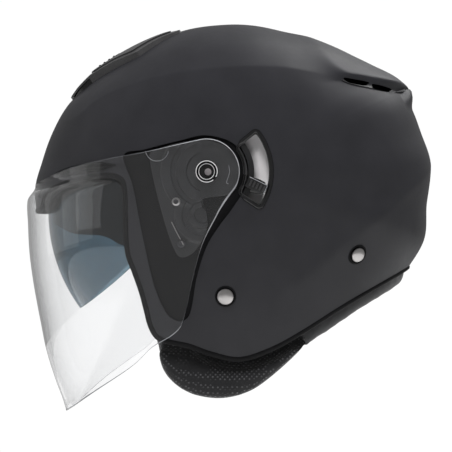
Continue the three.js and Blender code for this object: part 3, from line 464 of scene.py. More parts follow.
def swept(name, points, normals, section, materials, closed=False, sides=None, sharp=32,
          taper=None):
    """Closed section of [outward, sideways] points swept along a line."""
    points, normals = np.asarray(points, float), np.asarray(normals, float)
    section = np.asarray(section, float)
    count, size = len(points), len(section)
    if closed:
        along = np.roll(points, -1, 0) - np.roll(points, 1, 0)
    else:
        along = np.gradient(points, axis=0)
    along /= np.linalg.norm(along, axis=1)[:, None]
    if sides is None:
        sides = np.cross(along, normals)
    sides = sides / np.linalg.norm(sides, axis=1)[:, None]
    outs = np.cross(sides, along)
    outs /= np.linalg.norm(outs, axis=1)[:, None]
    scale = np.ones(count) if taper is None else np.asarray(taper)
    body = (points[:, None] + outs[:, None] * (section[:, 0][None, :, None] * scale[:, None, None])
            + sides[:, None] * (section[:, 1][None, :, None] * scale[:, None, None]))
    body = body.reshape(-1, 3)
    j = np.arange(count if closed else count - 1)[:, None]
    k = np.arange(size)[None, :]
    here, there = j * size, ((j + 1) % count) * size
    quads = np.stack([here + k, here + (k + 1) % size, there + (k + 1) % size, there + k], -1)
    faces = quads.reshape(-1, 4).tolist()
    if not closed:
        faces.append(list(range(size))[::-1])
        faces.append([(count - 1) * size + n for n in range(size)])
    return new_object(name, body, faces, materials, sharp=sharp)


def rounded_section(out_low, out_high, side_low, side_high, radius):
    """Rounded rectangle section."""
    section = []
    for out, side, start in ((out_high, side_high, 0), (out_low, side_high, 90),
                             (out_low, side_low, 180), (out_high, side_low, 270)):
        centre = (out - math.copysign(radius, out - (out_low + out_high) / 2),
                  side - math.copysign(radius, side - (side_low + side_high) / 2))
        section.extend(arc(centre, radius, start, start + 90, 4))
    return section


def oval(half_out, half_side, corners=24):
    """Oval section."""
    angle = np.linspace(0, 2 * np.pi, corners, endpoint=False)
    return np.column_stack([half_out * np.cos(angle), half_side * np.sin(angle)])


def tube(name, points, radius, materials, normals=None, closed=False):
    """Round wire along a line."""
    points = np.asarray(points, float)
    if normals is None:
        normals = np.tile([1.0, 0.02, 0.03], (len(points), 1))
    return swept(name, points, normals, oval(radius, radius, 8), materials, closed)


def outline_radius(centre, outline, alpha):
    """Distance from the centre to a star-shaped outline, in each direction."""
    outline = np.asarray(outline, float)
    dy, dz = outline[:, 0] - centre[0], outline[:, 1] - centre[1]
    angle = np.arctan2(dz, dy)
    order = np.argsort(angle)
    return np.interp(alpha, angle[order], np.hypot(dy, dz)[order], period=2 * np.pi)


def wall_columns(dome, outline, columns, corner):
    """Directions for a wall's columns, with one at each place where the outline leaves the dome."""
    alpha = np.linspace(-np.pi, np.pi, columns, endpoint=False)
    y, z = corner
    alpha = np.append(alpha, math.atan2(z - dome.centre[1], y - dome.centre[0]))
    fine = np.linspace(-np.pi, np.pi, 20001)
    beyond = outline_radius(dome.centre, outline, fine) - dome.radius(fine)
    k = np.nonzero(beyond[:-1] * beyond[1:] < 0)[0]
    crossings = fine[k] + (fine[k + 1] - fine[k]) * beyond[k] / (beyond[k] - beyond[k + 1])
    alpha = np.unique(np.round(np.concatenate([alpha, crossings]), 9))
    is_crossing = np.array([np.min(np.abs(crossings - a), initial=9) < 1e-8 for a in alpha])
    near = np.diff(alpha, append=alpha[0] + 2 * np.pi) < 0.003
    keep = ~near | is_crossing
    return alpha[keep], is_crossing[keep]


def polar_wall(name, dome, outline, materials, thick, hole, corner, columns, rows):
    """Closed wall over both halves of a dome, cut off at a side view outline.

    The mesh runs in columns out from a hole at the dome's centre, so its last row lies on the
    outline or on the middle plane. The outer edge is chamfered, and the chamfer and the cut edge
    take the second material.
    """
    alpha, is_crossing = wall_columns(dome, outline, columns, corner)
    reach = outline_radius(dome.centre, outline, alpha)
    rho = dome.radius(alpha)
    cut = (reach < rho) | is_crossing
    edge_polar = np.where((reach >= rho) | is_crossing, np.pi / 2, dome.polar(alpha, reach))
    before_edge = np.minimum(dome.polar(alpha, np.minimum(reach, rho) - EDGE_CHAMFER_WIDTH),
                             edge_polar - 0.003)
    start = dome.polar(alpha, np.full(len(alpha), float(hole)))
    share = np.linspace(0, 1, rows)[:, None]
    polar = np.vstack([start + (before_edge - start) * share, edge_polar])
    point, normal = dome.base(np.broadcast_to(alpha, polar.shape), polar)
    out = np.full(polar.shape, thick / 2)
    out[-1] -= np.where(cut, EDGE_CHAMFER_DEPTH, 0)
    skin = point + normal * out[..., None]
    lining = point - normal * (thick / 2)
    height, width = polar.shape
    middle = alpha + np.diff(alpha, append=alpha[0] + 2 * np.pi) / 2
    open_pair = outline_radius(dome.centre, outline, middle) < dome.radius(middle)

    def ring(row, pairs):
        i = np.nonzero(pairs)[0]
        after = (i + 1) % width
        low, high = row * width, height * width + row * width
        return np.stack([low + i, low + after, high + after, high + i], -1)

    skin_faces = grid_faces(height, width)
    rim = ring(height - 1, open_pair)
    bore = ring(0, np.ones(width, bool))[:, ::-1]
    faces = np.vstack([skin_faces, grid_faces(height, width, height * width, flip=True), rim, bore])
    skin_slots = np.zeros(len(skin_faces), int)
    skin_slots[(height - 2) * width:] = np.where(open_pair, 1, 0)
    slots = np.concatenate([skin_slots, np.zeros(len(skin_faces), int),
                            np.ones(len(rim) + len(bore), int)])
    points = np.vstack([skin.reshape(-1, 3), lining.reshape(-1, 3)])
    both = np.vstack([faces, faces[:, ::-1] + len(points)])
    return new_object(name, np.vstack([points, points * (-1, 1, 1)]), both, materials,
                      np.tile(slots, 2))


def side_plate(name, centre, outline, materials, surface, depth, columns, rows):
    """Plate on the wearer's left: surface(y, z) and depth(y, z) give its outer and inner x."""
    alpha = np.linspace(-np.pi, np.pi, columns, endpoint=False)
    reach = outline_radius(centre, outline, alpha)
    share = np.linspace(0, 1, rows)[:, None]
    out = reach * share
    y = centre[0] + out * np.cos(alpha)
    z = centre[1] + out * np.sin(alpha)
    x = surface(y, z)
    front = np.stack([x, y, z], -1).reshape(-1, 3)
    back = np.stack([x * 0 + np.asarray(depth(y, z)), y, z], -1).reshape(-1, 3)
    return new_object(name, np.vstack([front, back]), double_sheet(rows, columns), materials)


def dome_solid(name, dome, offset, materials, columns=180, rows=90, focus=None):
    """Whole dome, offset from its surface by a distance or by a function of point and normal.

    focus takes directions and evenly spread rows, and gives rows that crowd where they are needed.
    """
    alpha = np.linspace(-np.pi, np.pi, columns, endpoint=False)
    even = np.linspace(0, 1, rows)[:, None] * np.ones(columns)
    polar = (np.pi / 2) * (even if focus is None else focus(alpha, even))
    point, normal = dome.base(np.broadcast_to(alpha, polar.shape), polar)
    stand_off = offset(point, normal) if callable(offset) else np.full(polar.shape, float(offset))
    points = (point + normal * stand_off[..., None]).reshape(-1, 3)
    faces = grid_faces(rows, columns)
    both = np.vstack([faces, faces[:, ::-1] + len(points)])
    return new_object(name, np.vstack([points, points * (-1, 1, 1)]), both, materials)


# ---------------------------------------------------------------- materials


class Look:
    """A procedural material being put together round one Principled shader."""

    def __init__(self, name, **sockets):
        self.material = bpy.data.materials.new(name)
        self.material.use_nodes = True
        self.tree = self.material.node_tree
        self.shader = self.tree.nodes["Principled BSDF"]
        self.output = self.tree.nodes["Material Output"]
        for socket, value in sockets.items():
            self.shader.inputs[socket.replace("_", " ")].default_value = value
        self.place = self.node("ShaderNodeTexCoord").outputs["Object"]
        self.height = None

    def node(self, kind, **settings):
        made = self.tree.nodes.new(kind)
        for key, value in settings.items():
            setattr(made, key, value)
        return made

    def link(self, source, target):
        self.tree.links.new(source, target)

    def mapped(self, scale, rotation=(0, 0, 0)):
        """Object coordinates, scaled and turned."""
        made = self.node("ShaderNodeMapping")
        self.link(self.place, made.inputs["Vector"])
        made.inputs["Scale"].default_value = scale
        made.inputs["Rotation"].default_value = rotation
        return made.outputs["Vector"]

    def noise(self, scale, detail=3.0, vector=None):
        made = self.node("ShaderNodeTexNoise")
        self.link(vector or self.place, made.inputs["Vector"])
        made.inputs["Scale"].default_value = scale
        made.inputs["Detail"].default_value = detail
        return made.outputs["Fac"]

    def cells(self, scale, randomness=1.0, vector=None):
        made = self.node("ShaderNodeTexVoronoi")
        self.link(vector or self.place, made.inputs["Vector"])
        made.inputs["Scale"].default_value = scale
        made.inputs["Randomness"].default_value = randomness
        return made.outputs["Distance"]

    def waves(self, scale, vector, direction, distortion=0.0):
        made = self.node("ShaderNodeTexWave", bands_direction=direction)
        self.link(vector, made.inputs["Vector"])
        made.inputs["Scale"].default_value = scale
        made.inputs["Distortion"].default_value = distortion
        return made.outputs["Fac"]

    def maths(self, operation, first, second=0.0):
        made = self.node("ShaderNodeMath", operation=operation)
        for socket, value in zip(made.inputs, (first, second)):
            if isinstance(value, (int, float)):
                socket.default_value = value
            else:
                self.link(value, socket)
        return made.outputs[0]

    def spread(self, value, low, high, from_low=0.0, from_high=1.0):
        """A value carried from one range to another."""
        made = self.node("ShaderNodeMapRange")
        self.link(value, made.inputs["Value"])
        for socket, number in (("From Min", from_low), ("From Max", from_high),
                               ("To Min", low), ("To Max", high)):
            made.inputs[socket].default_value = number
        return made.outputs["Result"]

    def ramp(self, value, *stops):
        """Colour ramp of (place, colour) stops into the base colour."""
        made = self.node("ShaderNodeValToRGB")
        self.link(value, made.inputs["Fac"])
        elements = made.color_ramp.elements
        while len(elements) < len(stops):
            elements.new(0.5)
        for element, (position, colour) in zip(elements, stops):
            element.position = position
            element.color = (*colour, 1)
        self.link(made.outputs["Color"], self.shader.inputs["Base Color"])
        return made.outputs["Color"]

    def roughness(self, value, low, high):
        self.link(self.spread(value, low, high), self.shader.inputs["Roughness"])

    def bump(self, value, distance, strength):
        """Adds relief of a depth in millimetres."""
        made = self.node("ShaderNodeBump")
        made.inputs["Strength"].default_value = strength
        made.inputs["Distance"].default_value = distance * MM
        self.link(value, made.inputs["Height"])
        if self.height is not None:
            self.link(self.height, made.inputs["Normal"])
        self.height = made.outputs["Normal"]
        self.link(self.height, self.shader.inputs["Normal"])


def shell_paint():
    """Matt charcoal paint over glass fibre: fine orange peel and the slightest mottling."""
    look = Look("shell_matt_charcoal", IOR=1.45, Specular_IOR_Level=0.3)
    tone = look.noise(55, 4)
    look.ramp(tone, (0.3, (0.0160, 0.0160, 0.0185)), (0.7, (0.0195, 0.0195, 0.0225)))
    look.roughness(look.noise(240, 3), 0.46, 0.54)
    look.bump(look.noise(1500, 2), 0.02, 0.35)
    return look.material


def recess_painted_shade():
    """Moulded black inside the visor recess, darker and duller than the shell paint: painted shade that
    makes it look unlit.
    """
    look = Look("recess_black_painted_shade", IOR=1.35, Specular_IOR_Level=0.15)
    look.ramp(look.noise(60), (0.3, (0.0045, 0.0045, 0.005)), (0.7, (0.0065, 0.0065, 0.007)))
    look.roughness(look.noise(500), 0.55, 0.7)
    look.bump(look.noise(900, 2), 0.008, 0.2)
    return look.material


def rubber():
    """Dull black rubber with a fine pitted grain."""
    look = Look("edge_rubber", IOR=1.4, Specular_IOR_Level=0.2)
    look.ramp(look.noise(150, 5), (0.3, (0.003, 0.003, 0.0033)), (0.75, (0.006, 0.006, 0.0065)))
    look.roughness(look.noise(420), 0.6, 0.78)
    look.bump(look.cells(1400), 0.03, 0.5)
    return look.material


def satin_plastic(name, dark, light, rough=(0.34, 0.46)):
    """Moulded plastic with a fine spark-eroded grain."""
    look = Look(name, IOR=1.48)
    look.ramp(look.noise(90, 4), (0.3, dark), (0.7, light))
    look.roughness(look.noise(600, 3), *rough)
    look.bump(look.cells(2600), 0.012, 0.4)
    return look.material


def gloss_black():
    """Polished black plastic, barely uneven."""
    look = Look("gloss_black_plastic", IOR=1.5)
    look.ramp(look.noise(60, 3), (0.3, (0.003, 0.003, 0.0032)), (0.7, (0.006, 0.006, 0.0065)))
    look.roughness(look.noise(300, 4), 0.08, 0.18)
    look.bump(look.noise(700, 2), 0.008, 0.3)
    return look.material


def clear_plastic(name, tint, ior, tint_dark):
    """Clear or tinted sheet that lets light from lamps and lit surfaces straight through."""
    look = Look(name, IOR=ior, Transmission_Weight=1.0, Roughness=0.0)
    look.ramp(look.noise(30, 2), (0.3, tint_dark), (0.7, tint))
    through = look.node("ShaderNodeBsdfTransparent")
    through.inputs["Color"].default_value = (*tint, 1)
    rays = look.node("ShaderNodeLightPath")
    mix = look.node("ShaderNodeMixShader")
    ray = {kind: rays.outputs[f"Is {kind} Ray"] for kind in ("Shadow", "Diffuse", "Glossy", "Transmission")}
    # refracted rays count as glossy too, so only mirrored ones are let straight through
    mirrored_ray = look.maths("SUBTRACT", ray["Glossy"], ray["Transmission"])
    bounced = look.maths("MAXIMUM", ray["Diffuse"], mirrored_ray)
    straight = look.maths("MAXIMUM", ray["Shadow"], bounced)
    look.link(straight, mix.inputs["Fac"])
    look.link(look.shader.outputs["BSDF"], mix.inputs[1])
    look.link(through.outputs["BSDF"], mix.inputs[2])
    look.link(mix.outputs["Shader"], look.output.inputs["Surface"])
    return look.material


def visor_edge_highlight():
    """Cut edge of clear plastic, painted pale as a highlight for the light it gathers."""
    look = Look("clear_plastic_edge_highlight", IOR=1.49)
    look.ramp(look.noise(160, 3), (0.3, (0.20, 0.205, 0.22)), (0.7, (0.32, 0.325, 0.34)))
    look.roughness(look.noise(500), 0.18, 0.3)
    return look.material


def steel(name, tone, rough):
    """Turned metal with a drawn-out brushed unevenness."""
    look = Look(name, Metallic=1.0)
    look.ramp(look.noise(140, 4), (0.3, tuple(0.86 * c for c in tone)), (0.7, tone))
    look.roughness(look.noise(900, 4, look.mapped((1, 6, 1))), *rough)
    look.bump(look.noise(1600, 2), 0.01, 0.25)
    return look.material


def eps_foam():
    """Expanded bead foam: every bead a shallow cell."""
    look = Look("black_eps_foam", IOR=1.4)
    look.ramp(look.cells(330), (0.1, (0.013, 0.013, 0.014)), (0.7, (0.009, 0.009, 0.0095)))
    look.roughness(look.noise(300), 0.75, 0.9)
    look.bump(look.maths("SUBTRACT", 1.0, look.cells(330)), 0.2, 0.5)
    return look.material


def mesh_fabric(name, scale, dot_light, ground, depth):
    """Spacer mesh: rows of small raised dots over a dark knitted ground."""
    look = Look(name, IOR=1.4, Sheen_Weight=0.25, Sheen_Roughness=0.5)
    turned_grid = look.mapped((1, 1, 1), (math.radians(45), math.radians(12), math.radians(9)))
    dots = look.cells(scale, 0.12, turned_grid)
    look.ramp(look.maths("ADD", dots, look.spread(look.noise(60, 2), -0.05, 0.09)),
              (0.14, dot_light), (0.36, ground))
    look.roughness(look.noise(400), 0.78, 0.95)
    look.bump(look.noise(2600, 2), 0.05, 0.5)
    look.bump(look.spread(dots, 1.0, 0.0, 0.1, 0.45), depth, 0.9)
    return look.material


def knit_fabric(name, dark, light):
    """Fine ribbed knit."""
    look = Look(name, IOR=1.4, Sheen_Weight=0.3, Sheen_Roughness=0.55)
    ribs = look.waves(420, look.mapped((1, 1, 1), (math.radians(35), 0, 0)), "Z", 0.6)
    look.ramp(look.maths("MULTIPLY", ribs, look.noise(500, 4)), (0.05, dark), (0.6, light))
    look.roughness(look.noise(300), 0.8, 0.95)
    look.bump(ribs, 0.12, 0.6)
    look.bump(look.noise(3000, 2), 0.04, 0.4)
    return look.material


def webbing():
    """Woven strap: diagonal ribs with a darker selvedge grain."""
    look = Look("woven_webbing", IOR=1.4, Sheen_Weight=0.15)
    over = look.waves(380, look.mapped((1, 1, 1), (0, 0, math.radians(35))), "X")
    under = look.waves(380, look.mapped((1, 1, 1), (0, 0, math.radians(-35))), "X")
    weave = look.maths("MAXIMUM", over, under)
    look.ramp(weave, (0.2, (0.003, 0.003, 0.0035)), (0.9, (0.016, 0.016, 0.018)))
    look.roughness(look.noise(600), 0.65, 0.85)
    look.bump(weave, 0.18, 0.8)
    return look.material


def panel_painted_reflection():
    """Dished panel behind the lever: satin plastic with a painted reflection, dark at the hub and paler
    towards its outer edge.
    """
    look = Look("lever_panel_painted_reflection", IOR=1.5)
    parts = look.node("ShaderNodeSeparateXYZ")
    look.link(look.place, parts.inputs["Vector"])
    # Painted reflection: the colour pales with distance from the pivot, for a lamp mirrored in the glossy
    # panel.
    out = look.maths("SQRT", look.maths(
        "ADD", look.maths("MULTIPLY", parts.outputs["Y"], parts.outputs["Y"]),
        look.maths("MULTIPLY", parts.outputs["Z"], parts.outputs["Z"])))
    blotch = look.spread(look.noise(110, 2), -0.10, 0.10)
    shade = look.maths("ADD", look.spread(out, 0.0, 1.0, 0.029, 0.0425), blotch)
    look.ramp(shade, (0.05, (0.12, 0.12, 0.125)), (0.5, (0.76, 0.74, 0.75)),
              (1.0, (0.95, 0.93, 0.94)))
    look.roughness(look.noise(400), 0.28, 0.4)
    look.bump(look.noise(900, 2), 0.02, 0.3)
    return look.material


PAINT = shell_paint()
# Painted shade: the recess colour stands in for the shade in the visor recess and the vent slots.
RECESS_PAINTED_SHADE = recess_painted_shade()
RUBBER = rubber()
VENT = satin_plastic("vent_satin_plastic", (0.028, 0.0275, 0.0285), (0.036, 0.0355, 0.0365),
                     (0.3, 0.42))
PLASTIC = satin_plastic("black_satin_plastic", (0.006, 0.006, 0.0065), (0.011, 0.011, 0.012))
PLATE = satin_plastic("base_plate_plastic", (0.012, 0.012, 0.013), (0.02, 0.02, 0.0215),
                      (0.3, 0.45))
GLOSS = gloss_black()
CLEAR = clear_plastic("clear_visor_sheet", (0.985, 0.988, 0.992), 1.45, (0.975, 0.98, 0.985))
TINT = clear_plastic("smoke_blue_tint", (0.225, 0.315, 0.37), 1.6, (0.205, 0.29, 0.34))
TINT_EDGE = satin_plastic("smoke_tint_edge", (0.07, 0.1, 0.12), (0.1, 0.13, 0.15), (0.2, 0.3))
# Painted highlight: pale colour for light gathered in clear plastic edges and caught on fine raised lines.
EDGE_HIGHLIGHT = visor_edge_highlight()
# Painted highlight: pale colour for light caught on the pivot cap's two turned rims.
RIM_HIGHLIGHT = satin_plastic("pivot_rim_painted_highlight", (0.42, 0.42, 0.43), (0.55, 0.55, 0.56), (0.2, 0.3))
STEEL = steel("polished_rivet_steel", (0.46, 0.445, 0.44), (0.26, 0.36))
DARK_STEEL = steel("blackened_steel", (0.09, 0.09, 0.095), (0.3, 0.45))
FOAM = eps_foam()
MESH = mesh_fabric("black_spacer_mesh", 430, (0.080, 0.080, 0.085), (0.008, 0.008, 0.009), 0.6)
LINER = mesh_fabric("liner_mesh", 420, (0.035, 0.035, 0.038), (0.010, 0.010, 0.011), 0.35)
KNIT = knit_fabric("ribbed_knit", (0.005, 0.005, 0.0055), (0.02, 0.02, 0.022))
WEB = webbing()
PANEL_REFLECTION = panel_painted_reflection()
PIVOT_KNOB = satin_plastic("grey_knob_plastic", (0.10, 0.09, 0.095), (0.2, 0.185, 0.19))

# ---------------------------------------------------------------- finishing a piece


def finish_piece(piece, body, nodes=()):
    """Rides a piece on its body and, if it stands for CAD nodes, hides them."""
    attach(piece, body)
    if nodes:
        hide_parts(*nodes)
    return piece


def pair(piece, body, node):
    """The left piece and its mirror image, each standing for its own CAD node."""
    twin = mirrored(piece, piece.name.replace("left", "right"))
    finish_piece(piece, body, [f"{node}_left"] if node else ())
    finish_piece(twin, body, [f"{node}_right"] if node else ())
    return piece, twin


# ---------------------------------------------------------------- shell

CROWN_CURVE = spline(CROWN_LINE)
DIAGONAL_CURVE = spline(DIAGONAL_CREASE)
EDGE_CURVE = spline(SHELL_EDGE)


def crown_rise(y):
    """Height of the crown panel over the dome, growing towards the rear."""
    return CROWN_RISE * np.maximum(0, (y + 95) / 240) ** 1.3


def above_crown_line(y, z):
    """Height over the crown line in the side view."""
    return z - np.interp(y, CROWN_CURVE[:, 0], CROWN_CURVE[:, 1])


def shell_relief(point, normal):
    """How far the painted skin stands off the plain dome.

    The crown panel rises over the crown line, softly in front and with a crisp lip at the rear. A
    ridge follows the line in front, and a second one follows the diagonal crease over the ear.
    """
    y, z = point[..., 1], point[..., 2]
    rise = crown_rise(y)
    over = above_crown_line(y + normal[..., 1] * rise, z + normal[..., 2] * rise)
    crisp = smoothstep((y - 50) / 45)
    blunt_tail = 8 * smoothstep((y - 134) / 6)
    lip_width = 4 + 56 * (1 - crisp) + blunt_tail
    panel = rise * smoothstep((over + blunt_tail) / lip_width + 0.4 * crisp)
    room = (SPOILER_END - y) / np.maximum(normal[..., 1], 0.2)
    panel = np.where(normal[..., 1] > 0.2, np.clip(room, 0, panel), panel)
    front_fade = smoothstep((y + 112) / 40)
    near = smoothstep((38 - np.abs(over)) / 22)
    ridge = CREASE_HEIGHT * np.exp(-np.sqrt(over ** 2 + 1) / CREASE_SOFTNESS)
    ridge = ridge * front_fade * near * (1 - 0.85 * crisp)
    below = np.interp(y, DIAGONAL_CURVE[:, 0], DIAGONAL_CURVE[:, 1]) - z
    soft = np.sqrt(below ** 2 + 1)
    tail = smoothstep((y - 30) / 45) * smoothstep((163 - y) / 6 + 0.6)
    inboard = smoothstep(normal[..., 0] / 0.45)
    facet = FACET_HEIGHT * np.exp(-soft / FACET_SOFTNESS) * tail * inboard
    return panel + ridge + facet


def crown_focus(alpha, even):
    """Rows crowd together along the lip of the crown panel."""
    width = len(alpha)
    probe = np.linspace(0.02, 1, 220)[:, None] * np.full(width, np.pi / 2)
    point, normal = SHELL.base(np.broadcast_to(alpha, probe.shape), probe)
    rise = crown_rise(point[..., 1])
    over = above_crown_line(point[..., 1] + normal[..., 1] * rise,
                            point[..., 2] + normal[..., 2] * rise)
    share = np.full(width, np.nan)
    for i in range(width):
        behind_brow = point[1:, i, 1] > -99
        hit = np.nonzero((over[:-1, i] < 0) & (over[1:, i] >= 0) & behind_brow)[0]
        if len(hit) and math.sin(alpha[i]) > 0:
            k = hit[0]
            t = over[k, i] / (over[k, i] - over[k + 1, i])
            share[i] = 0.02 + 0.98 * (k + t) / 219
    known = ~np.isnan(share)
    share = np.interp(alpha, alpha[known], share[known], period=2 * np.pi)
    share = np.clip(share, 0.3, 0.95)
    low, high = share - 0.03, np.minimum(share + 0.03, 0.985)
    # a quarter of the rows cover the narrow band round the lip
    inner = low * even / 0.5
    band = low + (high - low) * (even - 0.5) / 0.25
    outer = high + (1 - high) * (even - 0.75) / 0.25
    return np.where(even < 0.5, inner, np.where(even < 0.75, band, outer))


def below_edge():
    """Prism of everything in front of and below the shell's cut edge."""
    far = [(230, -30), (230, -260), (-230, -260), (-230, -25)]
    return prism("opening", np.vstack([EDGE_CURVE, far]), -160, 160, [RUBBER])


def recess_band():
    """Cutter for the left visor recess: a prism, less everything deeper than the recess floor."""
    # The recess walls and floor take the painted shade colour.
    cutter = prism("recess", spline(RECESS_OUTLINE, 8, True), 60, 150, [RECESS_PAINTED_SHADE])
    floor = dome_solid("recess_floor", SHELL, -RECESS_DEPTH, [RECESS_PAINTED_SHADE])
    return combine(cutter, floor)


def sector(centre, inner, outer, low, high, corner=0.0):
    """Ring sector outline, anticlockwise, with rounded corners if asked."""
    if corner == 0:
        return np.vstack([arc(centre, outer, low, high), arc(centre, inner, high, low)])
    out_turn = math.degrees(corner / outer)
    in_turn = math.degrees(corner / inner)
    return np.vstack([
        arc(centre, outer, low + out_turn, high - out_turn, 28),
        corner_arc(centre, outer, high, corner, True, True),
        corner_arc(centre, inner, high, corner, False, True),
        arc(centre, inner, high - in_turn, low + in_turn, 18),
        corner_arc(centre, inner, low, corner, False, False),
        corner_arc(centre, outer, low, corner, True, False),
    ])


def corner_arc(centre, radius, angle, corner, on_outer, at_high_end):
    """Fillet between a ring and one straight end of a sector."""
    middle = radius - corner if on_outer else radius + corner
    turn = math.degrees(math.asin(corner / middle))
    at = angle - turn if at_high_end else angle + turn
    pivot = (centre[0] + middle * math.cos(math.radians(at)),
             centre[1] + middle * math.sin(math.radians(at)))
    if at_high_end:
        span = (at, angle + 90) if on_outer else (angle + 90, at + 180)
    else:
        span = (angle - 90, at) if on_outer else (at + 180, angle + 270)
    return arc(pivot, corner, *span, 7)


def outer_shell():
    """Painted shell, hollowed and cut for the face, the visor recess, the lever and the vents."""
    shell = dome_solid("painted_shell", SHELL, shell_relief, [PAINT], 400, 100, crown_focus)
    combine(shell, dome_solid("hollow", SHELL, -SHELL_WALL, [PLASTIC], 240, 90))
    combine(shell, below_edge())
    band = recess_band()
    twin = mirrored(band, "recess_right")
    combine(shell, band)
    combine(shell, twin)
    slot_cut = sector((0, 0), SLOT_INNER - 2.6, SLOT_OUTER, SLOT_LOW, SLOT_HIGH, 2.5)
    combine(shell, prism("slot", slot_cut, 90, 150, [GLOSS]))
    for points in EXTRACTOR_SLOTS:
        # The slot walls take the painted shade colour.
        cut_both_sides(shell, "extractor", spline(points, 6, True), 8, 150, RECESS_PAINTED_SHADE)
    return finish_piece(shell, "helmet", ["outer_shell"])


def within_shell(line, margin):
    """The part of a side view line that lies inside the shell's silhouette."""
    dy, dz = line[:, 0] - SHELL.centre[0], line[:, 1] - SHELL.centre[1]
    return line[np.hypot(dy, dz) < SHELL.radius(np.arctan2(dz, dy)) - margin]


def edge_frames():
    """Points, normals and outward edge directions all round the shell's cut edge."""
    curve = within_shell(EDGE_CURVE, 0.02)
    point, normal = SHELL.at(curve[:, 0], curve[:, 1])
    tangent = np.gradient(curve, axis=0)
    edge = np.column_stack([np.zeros(len(curve)), tangent[:, 1], -tangent[:, 0]])
    edge /= np.linalg.norm(edge, axis=1)[:, None]
    left, right = both_sides(np.hstack([point, normal, edge]))
    loop = evenly(np.vstack([left, right[::-1]]), 420, True)
    point, normal, edge = loop[:, :3], loop[:, 3:6], loop[:, 6:]
    normal = normal / np.linalg.norm(normal, axis=1)[:, None]
    edge = edge / np.linalg.norm(edge, axis=1)[:, None]
    return point, normal, edge


def edge_trim():
    """Rubber channel over the shell's cut edge, flush outside and lipped inside."""
    point, normal, edge = edge_frames()
    middle = point - normal * (SHELL_WALL / 2)
    section = [(1.9, -0.8), (2.5, -0.3), (2.8, 0.8), (2.6, 1.9), (1.9, 2.7), (0.8, 3.0),
               (-0.8, 3.0), (-2.2, 2.5), (-3.1, 1.2), (-3.2, -4.5), (-2.7, -5.2), (-2.1, -4.8),
               (-2.1, -0.2)]
    trim = swept("edge_trim", middle, normal, section, [RUBBER], True, edge, sharp=60)
    return finish_piece(trim, "helmet", ["shell_edge_trim"])


# ---------------------------------------------------------------- clear visor


def visor_outline():
    """Side view edge of the visor: top, ear and rear, running out past the middle plane."""
    return np.vstack([[(-160, -9)], spline(VISOR_TOP), arc((0, 0), EAR_RADIUS, 108, -28, 40),
                      spline(VISOR_REAR), [(-160, -186)]])


def clear_visor():
    """Long clear shield, and the fine moulded marks on each of its ears."""
    # The shield's chamfer and cut edge take the pale painted highlight colour.
    visor = polar_wall("clear_visor_shield", VISOR, visor_outline(), [CLEAR, EDGE_HIGHLIGHT], VISOR_WALL,
                       BOSS_RADIUS + 0.1, VISOR_TOP[0], 420, 64)
    finish_piece(visor, "visor", ["clear_visor"])
    # The marks are thin tubes in the pale painted highlight colour.
    brow_mark = arc((-33, 14.6), 7.6, -172, -8, 26)
    ear_mark = spline([(14.6, 4.2), (15.2, 0), (14.2, -4), (13.2, -7.4), (14.6, -8.2)], 6)
    for label, side in SIDES:
        marks = []
        for n, line in enumerate((brow_mark, ear_mark)):
            point, normal = VISOR.at(line[:, 0], line[:, 1])
            marks.append(tube(f"mark_{n}", point + normal * 1.0, 0.14, [EDGE_HIGHLIGHT], normal))
        mark = joined(f"visor_moulding_{label}", marks)
        if side < 0:
            flip_sides(mark.data)
        finish_piece(mark, "visor")


def pivot_cap():
    """Dark pivot with two turned rims painted pale as highlights, and a small knob, round about the hinge
    axis.
    """
    seat = float(VISOR.at(0, 0)[0][0]) + VISOR_WALL / 2
    foot = seat - 12
    profile = [
        (0, foot), (2.6, foot), (2.6, seat - 3.2), (BOSS_RADIUS, seat - 3.2), (BOSS_RADIUS, seat),
        (7.7, seat), (7.8, seat + 0.9), (7.4, seat + 1.5), (6.8, seat + 1.5), (6.4, seat + 0.9),
        (6.1, seat + 0.8), (5.9, seat + 1.4), (5.4, seat + 1.6), (5.0, seat + 1.3),
        (4.7, seat + 0.5), (3.7, seat + 0.4), (0, seat + 0.4),
    ]
    # The two rim bands are painted pale as highlights.
    highlight_bands = {7, 12}
    slots = [1 if k in highlight_bands else 0 for k in range(len(profile) - 1)]
    cap = turned("visor_pivot_left", profile, [GLOSS, RIM_HIGHLIGHT], 72, slots, sharp=50)
    placed(cap, (0, 0, 0), (1, 0, 0))
    notch = block("notch", (seat + 0.3, 3.6, -10), (seat + 3, 6.2, -4.4), [GLOSS])
    notch.data.transform(Matrix.Rotation(math.radians(8), 4, "X"))
    combine(cap, notch)
    knob_profile = [(0, seat), (2.1, seat), (2.3, seat + 2.4), (1.9, seat + 2.9), (0, seat + 3)]
    knob = turned("knob", knob_profile, [PIVOT_KNOB], 40)
    placed(knob, (0, 0.9, -0.3), (1, 0, 0))
    pair(joined("visor_pivot_left", [cap, knob]), "visor", "visor_pivot_cap")


